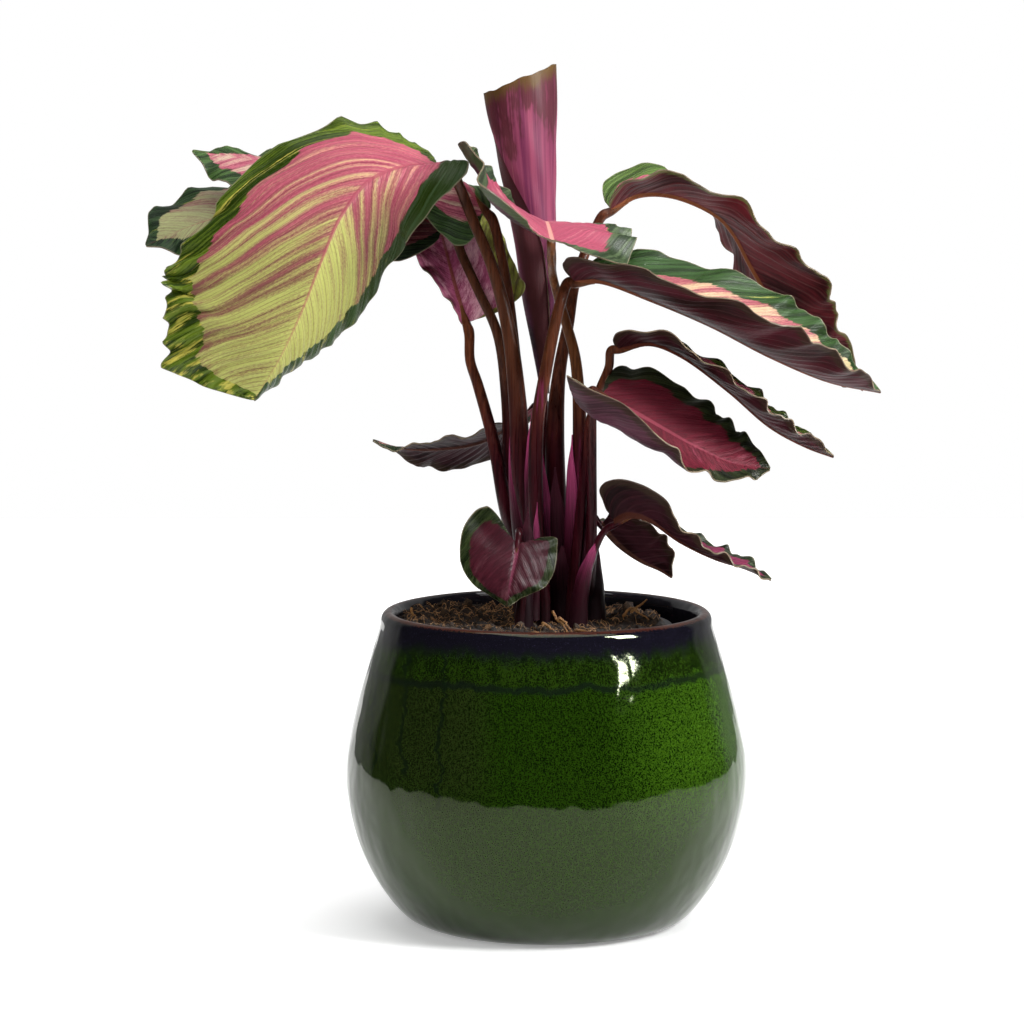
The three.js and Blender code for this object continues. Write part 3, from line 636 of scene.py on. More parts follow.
@dataclass(frozen=True)
class Wrap:
    """A sheath's skin: dark wine red at the foot, brighter towards its tip, with fine lengthwise lines."""

    name: str
    foot: Colour
    tip: Colour
    from_height: float
    # painted shade: near-black just above the peat, in the crowded base of the clump
    base: Colour = (0.01, 0.004, 0.005)

    def material(self) -> bpy.types.Material:
        """Paint the sheath in streaks along it.

        Returns:
            The material.
        """
        g = Graph(self.name)
        _, _, z = g.place()
        along, across = g.read("along", "across")
        lines = g.noise(across * 14.0, along * 0.9, 2.0, detail=4.0, roughness=0.65)
        share = (along + (lines - 0.5) * 0.3).rise(self.from_height, self.from_height + 0.55)
        colour = g.mix(share, self.foot, self.tip)
        colour = g.mix(lines.rise(0.5, 0.1) * 0.6, colour, self.foot)
        # Painted shade: the sheath darkens just above the peat, in the shadowed base of the clump.
        colour = g.mix(z.rise(160.0, 140.0) * 0.7, colour, self.base)
        return g.finish(colour, lines * 0.14 + 0.3, lines, depth=0.15, IOR=1.45, Specular_IOR_Level=0.22)


WRAPS = (
    Wrap("magenta_sheath", (0.035, 0.004, 0.01), (0.42, 0.06, 0.17), 0.35),
    Wrap("dark_sheath", (0.015, 0.003, 0.006), (0.075, 0.016, 0.028), 0.4),
)


@dataclass(frozen=True)
class Rim:
    """The thin pale edge of every blade."""

    dark: Colour = (0.05, 0.035, 0.018)
    light: Colour = (0.26, 0.2, 0.13)

    def material(self) -> bpy.types.Material:
        """Paint the edge in spots.

        Returns:
            The material.
        """
        g = Graph("leaf_rim")
        x, y, z = g.place()
        spots = g.noise(x * 0.2, y * 0.2, z * 0.2, detail=3.0)
        return g.finish(g.mix(spots, self.dark, self.light), 0.5, Specular_IOR_Level=0.2)


# Curves and meshes


def catmull(points: Sequence[Point], steps: np.ndarray) -> np.ndarray:
    """Follow a centripetal Catmull-Rom curve.

    Args:
        points: The points that the curve passes.
        steps: Where to read it, 0 at the first point and 1 more at each next point.

    Returns:
        One place for each step.
    """
    p = np.asarray(points, float)
    last = len(p) - 1
    first = np.minimum(np.clip(steps, 0, last).astype(int), last - 1)
    w = (np.clip(steps, 0, last) - first)[:, None]
    padded = np.vstack([2 * p[0] - p[1], p, 2 * p[-1] - p[-2]])
    p0, p1, p2, p3 = (padded[first + k] for k in range(4))
    d0, d1, d2 = (
        np.maximum(np.linalg.norm(b - a, axis=1, keepdims=True) ** 0.5, 1e-4)
        for a, b in ((p0, p1), (p1, p2), (p2, p3))
    )
    m1 = ((p1 - p0) / d0 - (p2 - p0) / (d0 + d1) + (p2 - p1) / d1) * d1
    m2 = ((p2 - p1) / d1 - (p3 - p1) / (d1 + d2) + (p3 - p2) / d2) * d1
    w2, w3 = w * w, w**3
    return p1 + m1 * w + (3 * (p2 - p1) - 2 * m1 - m2) * w2 + (2 * (p1 - p2) + m1 + m2) * w3


def blend(values: Sequence[float], s: np.ndarray) -> np.ndarray:
    """Read a value that is given at evenly spaced stations and smoothly joined.

    Args:
        values: The value at each station.
        s: Where to read it, from 0 to 1.

    Returns:
        The value at each s.
    """
    v = np.asarray(values, float)
    q = np.clip(s, 0, 1) * (len(v) - 1)
    i = np.minimum(q.astype(int), len(v) - 2)
    w = q - i
    before, after = v[np.maximum(i - 1, 0)], v[np.minimum(i + 2, len(v) - 1)]
    slope_a, slope_b = (v[i + 1] - before) / 2, (after - v[i]) / 2
    w2, w3 = w * w, w**3
    ends = v[i] * (2 * w3 - 3 * w2 + 1) + v[i + 1] * (3 * w2 - 2 * w3)
    return ends + slope_a * (w3 - 2 * w2 + w) + slope_b * (w3 - w2)


def unit(v: np.ndarray) -> np.ndarray:
    """Vectors of length 1."""
    return v / np.maximum(np.linalg.norm(v, axis=-1, keepdims=True), 1e-9)


def smooth(x: np.ndarray) -> np.ndarray:
    """A smooth step from 0 to 1."""
    x = np.clip(x, 0, 1)
    return x * x * (3 - 2 * x)


def grid_faces(rows: int, columns: int, start: int = 0, flip: bool = False, wrap: bool = False) -> np.ndarray:
    """Quads over a grid of points.

    Args:
        rows: Points along.
        columns: Points across.
        start: Number of the grid's first point.
        flip: True if the faces look the other way.
        wrap: True if the last column joins the first.

    Returns:
        Four point numbers for each quad.
    """
    i, j = np.meshgrid(np.arange(rows - 1), np.arange(columns - (0 if wrap else 1)), indexing="ij")
    k = (j + 1) % columns
    quads = np.stack([i * columns + j, i * columns + k, (i + 1) * columns + k, (i + 1) * columns + j], -1)
    quads = quads.reshape(-1, 4) + start
    return quads[:, ::-1] if flip else quads


@dataclass
class Shape:
    """Points, faces and what they carry, gathered until a piece is made."""

    points: list[np.ndarray] = field(default_factory=list)
    faces: list[list[int]] = field(default_factory=list)
    paints: list[int] = field(default_factory=list)
    facts: dict[str, list[np.ndarray]] = field(default_factory=dict)
    count: int = 0

    def add(self, points: np.ndarray, faces: np.ndarray, paint: int = 0, **facts: np.ndarray) -> int:
        """Add a lump.

        Args:
            points: Its points in millimetres.
            faces: Its faces, numbered from its own first point.
            paint: Which of the piece's materials it has.
            **facts: Numbers for its points, by attribute name.

        Returns:
            The number of its first point in the whole shape.
        """
        first = self.count
        self.points.append(points)
        self.faces.extend((np.asarray(faces) + first).tolist())
        self.paints.extend([paint] * len(faces))
        for name, values in facts.items():
            kept = self.facts.setdefault(name, [])
            kept.append(np.zeros(first - sum(len(v) for v in kept)))
            kept.append(np.broadcast_to(values, len(points)))
        self.count += len(points)
        return first

    def join(self, faces: np.ndarray, paint: int = 0) -> None:
        """Add faces over points that are there already.

        Args:
            faces: The faces, by the points' numbers in the whole shape.
            paint: Which of the piece's materials they have.
        """
        self.faces.extend(np.asarray(faces).tolist())
        self.paints.extend([paint] * len(faces))

    def piece(
        self, name: str, paints: Sequence[bpy.types.Material], node: str, sharp: float = 40.0
    ) -> None:
        """Make the piece and tell the frame about it.

        Args:
            name: The piece's name.
            paints: Its materials.
            node: The CAD node that it stands for.
            sharp: The angle from which an edge is sharp, in degrees.
        """
        mesh = bpy.data.meshes.new(name)
        mesh.from_pydata((np.vstack(self.points) * MM).tolist(), [], self.faces)
        for paint in paints:
            mesh.materials.append(paint)
        mesh.polygons.foreach_set("material_index", self.paints)
        mesh.polygons.foreach_set("use_smooth", [True] * len(self.faces))
        for fact, kept in self.facts.items():
            values = np.concatenate(kept)
            values = np.concatenate([values, np.zeros(self.count - len(values))])
            mesh.attributes.new(fact, "FLOAT", "POINT").data.foreach_set("value", values.astype(np.float32))
        mesh.update()
        mesh.set_sharp_from_angle(angle=math.radians(sharp))
        obj = bpy.data.objects.new(name, mesh)
        bpy.context.scene.collection.objects.link(obj)
        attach(obj, "root")
        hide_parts(node)
        LOG.info("%s: %d points", name, self.count)


def tube(
    shape: Shape, route: np.ndarray, radii: np.ndarray, sides: int = 14, paint: int = 0, groove: float = 0.0
) -> None:
    """Add a closed tube along a route.

    Args:
        shape: What it is added to.
        route: The centres of its rings.
        radii: The radius at each ring.
        sides: Points round it.
        paint: Which of the piece's materials it has.
        groove: How far its section leaves a circle, as a share.
    """
    forward = unit(np.gradient(route, axis=0))
    across = unit(np.cross(forward, np.array([0.0, 1.0, 0.05])))
    deep = np.cross(forward, across)
    turn = np.arange(sides) * math.tau / sides
    swell = 1 + groove * np.cos(3 * turn + 0.6)
    ring = across[:, None] * (np.cos(turn) * swell)[:, None] + deep[:, None] * (np.sin(turn) * swell)[:, None]
    points = (route[:, None] + ring * radii[:, None, None]).reshape(-1, 3)
    along = np.repeat(np.linspace(0, 1, len(route)), sides)
    first = shape.add(points, grid_faces(len(route), sides, flip=True, wrap=True), paint, along=along)
    last = first + (len(route) - 1) * sides
    shape.join([list(range(first, first + sides)), list(range(last + sides - 1, last - 1, -1))], paint)


def sheet(
    shape: Shape,
    outer: np.ndarray,
    inner: np.ndarray,
    paints: tuple[int, int, int] = (0, 1, 2),
    **facts: np.ndarray,
) -> None:
    """Add a closed sheet: an outer and an inner skin, joined all round.

    Args:
        shape: What it is added to.
        outer: The outer skin's points in rows and columns.
        inner: The inner skin's points.
        paints: The materials of the outer skin, the inner skin and the rim.
        **facts: Numbers for its points, by attribute name.
    """
    rows, columns = outer.shape[:2]
    flat = {name: value.ravel() for name, value in facts.items()}
    first = shape.add(outer.reshape(-1, 3), grid_faces(rows, columns), paints[0], **flat)
    under = shape.add(inner.reshape(-1, 3), grid_faces(rows, columns, flip=True), paints[1], **flat)
    number = np.arange(rows * columns).reshape(rows, columns)
    border = np.concatenate([number[0, :-1], number[:-1, -1], number[-1, :0:-1], number[:0:-1, 0]])
    ahead = np.roll(border, -1)
    shape.join(np.stack([first + border, under + border, under + ahead, first + ahead], 1), paints[2])


def lathe(
    shape: Shape,
    profile: np.ndarray,
    sides: int,
    shift_x: float = 0.0,
    paint: Callable[[float, float, int], int] = lambda r, z, k: 0,
    wobble: float = 0.0,
) -> None:
    """Add a turned body.

    Args:
        shape: What it is added to.
        profile: Radius and height of each ring, from the middle of the base to the middle of the top.
        sides: Points round it.
        shift_x: How far its axis is from the frame's, along X.
        paint: Picks the material of each ring of faces from radius, height and ring number.
        wobble: How far the thrown wall leaves a true circle.
    """
    turn = np.arange(sides) * math.tau / sides
    rings = profile[1:-1]
    grow = 1 + wobble / 90 * (np.cos(2 * turn + 0.4) + 0.6 * np.cos(3 * turn + 2))
    radius = rings[:, :1] * grow[None, :]
    flat = np.broadcast_to(rings[:, 1:], radius.shape)
    points = np.stack([shift_x + radius * np.cos(turn), radius * np.sin(turn), flat], -1).reshape(-1, 3)
    ends = np.array([[shift_x, 0, profile[0][1]], [shift_x, 0, profile[-1][1]]])
    first = shape.add(np.vstack([points, ends]), np.empty((0, 4), int))
    for k in range(len(rings) - 1):
        row = grid_faces(2, sides, first + k * sides, wrap=True)
        shape.join(row, paint(*rings[k], k))
    low, high = first + len(points), first + len(points) + 1
    top = first + (len(rings) - 1) * sides
    shape.join([[low, first + (j + 1) % sides, first + j] for j in range(sides)], paint(*rings[0], -1))
    shape.join([[high, top + j, top + (j + 1) % sides] for j in range(sides)], paint(*rings[-1], len(rings)))


class Lumps:
    """Seeded soft lumps over a plane, made of many slow and quick waves."""

    def __init__(self, seed: int, longest: float, shortest: float, count: int = 22) -> None:
        """Choose the waves.

        Args:
            seed: Which lumps.
            longest: The longest wave.
            shortest: The shortest wave.
            count: How many waves there are.
        """
        rng = np.random.default_rng(seed)
        length = np.geomspace(longest, shortest, count)
        heading = rng.uniform(0, math.tau, count)
        self.kx = math.tau / length * np.cos(heading)
        self.ky = math.tau / length * np.sin(heading)
        self.phase = rng.uniform(0, math.tau, count)
        self.height = (length / longest) ** 0.75

    def at(self, x: np.ndarray, y: np.ndarray) -> np.ndarray:
        """The height at each place, mostly from -1 to 1."""
        turn = x[..., None] * self.kx + y[..., None] * self.ky + self.phase
        return (np.sin(turn) * self.height).sum(-1) / math.sqrt(float((self.height**2).sum()))


# Leaves


class Spine:
    """The midrib as a curve that knows its direction and which way the upper face looks."""

    dense = 160

    def __init__(self, points: Sequence[Point], faces: Sequence[Point]) -> None:
        """Follow the midrib.

        Args:
            points: The points that it passes, from the stalk to the tip.
            faces: Which way the upper side looks at even steps along it.
        """
        share = np.linspace(0, 1, self.dense)
        self.points = catmull(points, share * (len(points) - 1))
        arc = np.concatenate([[0], np.cumsum(np.linalg.norm(np.diff(self.points, axis=0), axis=1))])
        self.length = float(arc[-1])
        self.share = arc / arc[-1]
        self.forward = unit(np.gradient(self.points, axis=0))
        looks = np.asarray(faces, float)
        steps = share * (len(looks) - 1)
        face = np.stack([np.interp(steps, np.arange(len(looks)), looks[:, k]) for k in range(3)], 1)
        self.up = unit(face - (face * self.forward).sum(1, keepdims=True) * self.forward)

    def at(self, s: np.ndarray) -> tuple[np.ndarray, np.ndarray, np.ndarray, np.ndarray]:
        """Read the midrib.

        Args:
            s: Where, from 0 at the stalk to 1 at the tip.

        Returns:
            The place, the way forward, the way up and the way to the right.
        """
        s = np.clip(s, 0, 1)

        def read(rows: np.ndarray) -> np.ndarray:
            """Read one row of numbers at each s."""
            return np.stack([np.interp(s, self.share, rows[:, k]) for k in range(3)], -1)

        forward, up = unit(read(self.forward)), unit(read(self.up))
        return read(self.points), forward, up, np.cross(forward, up)


@dataclass
class Blade:
    """A leaf blade. Pairs are for the right and the left half, looking along the midrib, upper side up."""

    midrib: Sequence[Point]
    faces: Sequence[Point]
    width: tuple[Sequence[float], Sequence[float]]
    curl: tuple[Sequence[float], Sequence[float]]
    fold: tuple[Sequence[float], Sequence[float]] = ((0, 0), (0, 0))
    back: tuple[float, float] = (-0.25, -0.25)
    sweep: float = 0.8
    taper: float = 0.5
    lobe: float = 0.45
    lobed: bool = False
    waves: Sequence[float] = (6.0, 2.0)
    base: float = 2.0
    frill: tuple[float, float] = (0.25, 0.25)
    scallop: tuple[float, float] = (0.5, 9.0)
    follow: float = 0.0
    quilt: float = 0.16
    slant: float = 1.25
    rows: int = 130
    columns: int = 28
    thickness: float = 0.6
    rib: float = 1.2
    furrow: float = 0.25
    edge: float = 0.8
    quilt_pitch: float = 6.6

    def __post_init__(self) -> None:
        """Follow the midrib."""
        self.spine = Spine(self.midrib, self.faces)

    def spread(self, right: np.ndarray, s: np.ndarray) -> np.ndarray:
        """Find how far the halves spread.

        Args:
            right: Where the right half is meant.
            s: Along the blade, 0 to 1.

        Returns:
            The distance from the midrib to the edge.
        """
        base = np.sin(math.pi / 2 * np.clip(s / 0.1, 0, 1)) ** 0.6
        tip = np.sin(math.pi / 2 * np.clip((1 - s) / 0.12, 0, 1)) ** 0.85
        return np.where(right, blend(self.width[0], s), blend(self.width[1], s)) * base * tip

    def surface(self, s: np.ndarray, t: np.ndarray) -> tuple[np.ndarray, dict[str, np.ndarray]]:
        """The middle of the sheet.

        Args:
            s: Along the blade, 0 to 1.
            t: Across it, -1 at the left edge to 1 at the right edge.

        Returns:
            The points, and what the paint needs to know at each.
        """
        right = t >= 0
        a = np.abs(t)
        length = self.spine.length
        spread = self.spread(right, s)
        fade = np.clip(np.minimum(s / 0.12, (1 - s) / 0.08), 0, 1)
        depth, pitch = self.scallop
        notch = np.abs(np.sin(math.pi * (s**0.7 * length / pitch + 0.3 * np.sin(9 * s)))) ** 0.8
        spread = spread - np.where(right, depth, min(depth, 0.5)) * notch * fade
        w = self.edge + (self.base - self.edge) * np.clip(1 - s / 0.06, 0, 1) + np.maximum(spread, 0)
        ease = smooth(s / self.lobe)
        back = np.where(right, *self.back)
        sweep = back + (self.sweep - back) * ease
        shift = sweep * (spread + self.edge * s) * (0.45 * a + 0.55 * a * a) / length
        shift = np.where(shift > 0, shift * np.maximum(1 - s, 0) ** self.taper, shift)
        middle, forward, up, side = self.spine.at(s + shift)
        beyond = np.minimum(s + shift, 0) + np.maximum(s + shift - 1, 0)
        middle = middle + forward * (beyond * length)[..., None]
        fold = np.radians(np.where(right, blend(self.fold[0], s), blend(self.fold[1], s)))
        bend = np.radians(np.where(right, blend(self.curl[0], s), blend(self.curl[1], s)))
        bend = np.where(np.abs(bend) < 1e-3, 1e-3, bend)
        angle = fold + bend * a
        x = w * (np.sin(angle) - np.sin(fold)) / bend
        y = w * (np.cos(fold) - np.cos(angle)) / bend
        phase = np.where(right, 0.0, 1.7)
        lean = self.slant * w * (0.75 * a + 0.4 * a * a)
        run = self.follow * (shift - lean / length)
        turn = math.tau * self.waves[0] * (s + run)
        height = np.where(right, self.waves[1], self.waves[-1])
        lift = height * a**2.2 * fade * (np.sin(turn + phase) + 0.35 * np.sin(1.83 * turn + 2.1 * phase + 1))
        vein = (s + shift) * length - lean
        crimp = np.sin(s * length * 0.62 + phase * 3) + 0.7 * np.sin(s * length * 1.03 + phase)
        lift = lift + np.where(right, *self.frill) * a**5 * fade * crimp
        cusp = np.where(right & (depth > 1), depth * (1.1 - 0.8 * s), 0)
        lift = lift + cusp * a**4 * fade * (1 - 1.6 * notch)
        gate = smooth(w * a / 5) * smooth((1 - a) * w / 5)
        lift = lift + self.quilt * gate * np.cos(vein * math.tau / self.quilt_pitch)
        x = x - lift * np.sin(angle)
        y = y + lift * np.cos(angle)
        points = middle + side * np.where(right, x, -x)[..., None] + up * y[..., None]
        return points, {"vein": vein, "across": t, "inset": (1 - a) * w, "along": s, "reach": a * w}

    def add_to(self, shape: Shape) -> None:
        """Add the sheet: upper side, underside with its rib, and pale rim.

        Args:
            shape: What it is added to.
        """
        u = np.linspace(0, 1, self.rows)
        along = u - 0.55 * np.sin(math.tau * u) / math.tau
        start = 0.9 / self.spine.length
        along = start + (1 - start) * (along**1.4 if self.lobed else along)
        k = np.linspace(-1, 1, 2 * self.columns + 1)
        s, t = np.meshgrid(along, np.sign(k) * np.abs(k) ** 1.2, indexing="ij")
        middle, facts = self.surface(s, t)
        normal = unit(np.cross(np.gradient(middle, axis=1), np.gradient(middle, axis=0)))
        ridge = np.exp(-((facts["reach"] / (1.5 - 0.8 * s)) ** 2)) * (1 - 0.7 * s)
        half = self.thickness / 2
        upper = middle + normal * (half - self.furrow * ridge)[..., None]
        lower = middle - normal * (half + self.rib * ridge)[..., None]
        sheet(shape, upper, lower, **facts)


@dataclass
class Sheath:
    """A leaf base that wraps a stalk: a channel, open to the back, that narrows upwards to a tongue."""

    route: Sequence[Point]
    radii: Sequence[float]
    wrap: Sequence[float] = (230, 210, 170, 120, 50)
    turned: float = 0.0
    dark: bool = False
    thickness: float = 0.45
    ripple: float = 0.12
    rows: int = 44
    columns: int = 21

    def add_to(self, shape: Shape) -> None:
        """Add the channel, turned by so many degrees to the right.

        Args:
            shape: The stalk's shape.
        """
        v, u = np.meshgrid(np.linspace(0, 1, self.rows), np.linspace(-0.5, 0.5, self.columns), indexing="ij")
        centre = catmull(self.route, v.ravel() * (len(self.route) - 1)).reshape(*v.shape, 3)
        angle = np.radians(self.turned + blend(self.wrap, v) * u)
        ray = np.stack([np.sin(angle), -np.cos(angle), np.zeros_like(angle)], -1)
        radius = blend(self.radii, v) + self.ripple * np.cos(v * 21 + u * 9)
        outer = centre + ray * radius[..., None]
        inner = centre + ray * (radius - self.thickness)[..., None]
        sheet(shape, outer, inner, (2 if self.dark else 1,) * 3, along=v, across=u)


@dataclass
class Leaf:
    """One leaf: a blade on its stalk."""

    name: str
    seed: float
    blade: Blade
    route: Sequence[Point]
    radii: Sequence[float]
    upper: Variegated
    under: Wine | Variegated
    stalk: Stalk
    joint: Joint = Joint.IN_LINE
    sheaths: Sequence[Sheath] = ()
    run_on: float = 9.0
    knee: float = 0.14
    taper: float = 0.62
    groove: float = 0.05
    rings: int = 84
    sides: int = 18

    def stalk_points(self) -> list[Point]:
        """Lead the stalk to the blade, and on along the underside of the midrib.

        Returns:
            The points that it passes.
        """
        at, forward, up, _ = (v[0] for v in self.blade.spine.at(np.array([0.0])))
        share = self.run_on / self.blade.spine.length
        on, _, on_up, _ = (v[0] for v in self.blade.spine.at(np.array([share])))
        if self.joint is Joint.UNDER:
            return [*self.route, tuple(at + forward * 2 - up * 2.4), tuple(on - on_up * 1.1)]
        return [*self.route, tuple(at - forward * 4), tuple(at - up * 0.3), tuple(on - on_up * 0.9)]

    def build(self, rim: bpy.types.Material, number: int) -> None:
        """Make the blade and the stalk.

        Args:
            rim: The material of the blade's edge.
            number: The leaf's number in the plant, which seeds the stalk's paint.
        """
        self.blade.base = self.radii[-1]
        shape = Shape()
        self.blade.add_to(shape)
        upper = self.upper.material(f"{self.name}_upper", self.seed)
        under = self.under.material(f"{self.name}_under", self.seed)
        shape.piece(f"leaf_{self.name}", [upper, under, rim], f"blade_{self.name}")
        route = self.stalk_points()
        joint = len(route) - 2
        steps = np.linspace(0, len(route) - 1, self.rings)
        knee = 1 + self.knee * np.exp(-((steps - joint + 0.7) ** 2) / 0.3)
        radii = blend(self.radii, steps / joint) * knee * (1 - self.taper * smooth(steps - joint))
        stalk = Shape()
        tube(stalk, catmull(route, steps), radii, self.sides, groove=self.groove)
        for sheath in self.sheaths:
            sheath.add_to(stalk)
        skins = [self.stalk.material(f"stalk_{self.name}_skin", number)]
        if self.sheaths:
            skins += [wrap.material() for wrap in WRAPS]
        stalk.piece(f"stalk_{self.name}", skins, f"stem_{self.name}")


@dataclass
class RolledLeaf:
    """The newest leaf, still rolled up round its own midrib like a paper cone."""

    axis: Sequence[Point] = (
        (-1, 28, 238), (-2, 30, 256), (-3.8, 34, 280), (-5.7, 37, 308), (-8.5, 38, 337), (-11.5, 40, 374),
    )
    radii: Sequence[float] = (2.6, 4.8, 7.9, 10.4, 13.6, 17)
    free_edge: Sequence[float] = (325, 322, 310, 288, 235, 178)
    wrap: Sequence[float] = (380, 390, 400, 405, 410, 415)
    pitch: float = 1.35
    thickness: float = 0.6
    slant: float = 13.5
    route: Sequence[Point] = (
        (5, 23, 127), (5, 23, 140), (1, 24, 180), (-1, 26, 212), (-1.3, 27.4, 230.6), (-1.7, 29.3, 250),
    )
    stalk_radii: Sequence[float] = (3.2, 3.2, 3, 2.8, 2.3, 1.8)
    height: float = 138.0
    turn: float = 400.0
    rows: int = 110
    columns: int = 170
    inside: Variegated = Variegated(paleness=0.2)
    seed: float = 70.0

    def build(self, rim: bpy.types.Material) -> None:
        """Make the roll and its stalk.

        Args:
            rim: The material of its edge.
        """
        v, u = np.meshgrid(np.linspace(0, 1, self.rows), np.linspace(0, 1, self.columns), indexing="ij")
        centre = catmull(self.axis, v.ravel() * (len(self.axis) - 1)).reshape(*v.shape, 3)
        turned = blend(self.wrap, v) * u
        angle = np.radians(blend(self.free_edge, v) + turned)
        r = blend(self.radii, v) - self.pitch * turned / 360
        crimp = 0.35 * v**4 * (np.sin(turned * 0.09) + 0.6 * np.sin(turned * 0.21 + 1))
        lift = self.slant * v**3 * np.sin(math.pi / 2 * np.clip(turned / 180, 0, 2)) ** 2 + crimp
        r = r + 0.18 * np.cos(turned * 0.13 + 5 * v) * v
        across, below = turned / self.turn, (1 - v) * self.height
        vein = np.radians(turned) * r - 0.55 * v * self.height * (across - 0.3)
        facts = {"vein": vein, "across": across, "inset": below, "along": v, "reach": np.full_like(v, 9)}
        facts |= {"below": below, "turned": turned, "bearing": np.degrees(angle)}
        ray = np.stack([np.cos(angle), np.sin(angle), np.zeros_like(angle)], -1)
        rise = np.stack([0 * lift, 0 * lift, lift], -1)
        shape = Shape()
        outer = centre + ray * r[..., None] + rise
        sheet(shape, outer, centre + ray * (r - self.thickness)[..., None] + rise, **facts)
        paints = [NewLeaf().material(), self.inside.material("rolled_leaf_inside", self.seed), rim]
        shape.piece("leaf_rolled_new", paints, "blade_rolled_new")
        steps = np.linspace(0, len(self.route) - 1, 60)
        stalk = Shape()
        tube(stalk, catmull(self.route, steps), blend(self.stalk_radii, steps / steps[-1]), 18, groove=0.04)
        skin = Stalk().material("stalk_rolled_skin", len(LEAVES) + 1)
        stalk.piece("stalk_rolled_new", [skin], "stem_rolled_new")


# Pots and peat


@dataclass
class GlazedPot:
    """The round glazed pot: foot, belly, drawn-in shoulder, rounded lip, then the inside."""

    outside: Sequence[tuple[float, float]] = (
        (52, 0), (58, 0.9), (64, 3.6), (68.7, 8), (75.8, 17.5), (81.1, 27), (85.6, 38), (88.9, 51),
        (90.6, 64), (90.2, 76), (87.8, 89), (84.2, 104), (79.6, 120), (75.4, 134), (74, 140.2), (71.6, 142),
    )
    inside: Sequence[tuple[float, float]] = (
        (68.9, 141.3), (67.2, 138), (72.6, 120), (80.2, 92), (83.5, 66), (79.4, 40), (68, 18), (54, 10),
    )
    floor: float = 10.0
    sides: int = 192
    smooth_steps: int = 5
    finish: Glaze = Glaze()

    def build(self) -> None:
        """Turn the pot and dress it inside and out."""
        corners = [(r, z, 0.0) for r, z in (*self.outside, *self.inside)]
        steps = np.linspace(0, len(corners) - 1, (len(corners) - 1) * self.smooth_steps + 1)
        profile = np.vstack([[0, 0], catmull(corners, steps)[:, :2], [0, self.floor]])
        turn = (len(self.outside) - 1) * self.smooth_steps + 2
        shape = Shape()
        lathe(shape, profile, self.sides, paint=lambda r, z, k: 2 if k < 0 else int(k > turn), wobble=0.25)
        paints = [self.finish.outside(), self.finish.inside(), self.finish.foot()]
        shape.piece("pot_glazed", paints, "glazed_pot", sharp=60)


@dataclass
class GrowersPot:
    """The thin black pot that the plant was grown in, standing inside the glazed one."""

    rim: float = 60.0
    base: float = 42.0
    top: float = 135.5
    bottom: float = 10.3
    wall: float = 1.2
    floor: float = 1.6
    step: float = 2.4
    lip: float = 8.0
    shift_x: float = -2.5
    sides: int = 120
    finish: MouldedPlastic = MouldedPlastic()

    def inner(self, z: float) -> float:
        """The radius inside the wall at a height."""
        share = (z - self.bottom) / (self.top - self.bottom)
        return self.base + (self.rim - self.step - self.base) * share - self.wall

    def build(self) -> None:
        """Turn the pot."""
        rim, low, top = self.rim, self.bottom, self.top
        floor, lip = low + self.floor, top - self.lip
        profile = np.array([
            (0, low), (self.base - 2, low), (self.inner(low + 2) + self.wall, low + 2),
            (self.inner(lip) + self.wall, lip), (rim - 0.8, lip), (rim - 0.1, top - 1.6),
            (rim - 0.2, top - 0.6), (rim - 0.8, top), (self.inner(top), top - 0.1),
            (self.inner(floor), floor), (0, floor),
        ])
        shape = Shape()
        lathe(shape, profile, self.sides, self.shift_x)
        shape.piece("pot_growers", [self.finish.material()], "growers_pot")


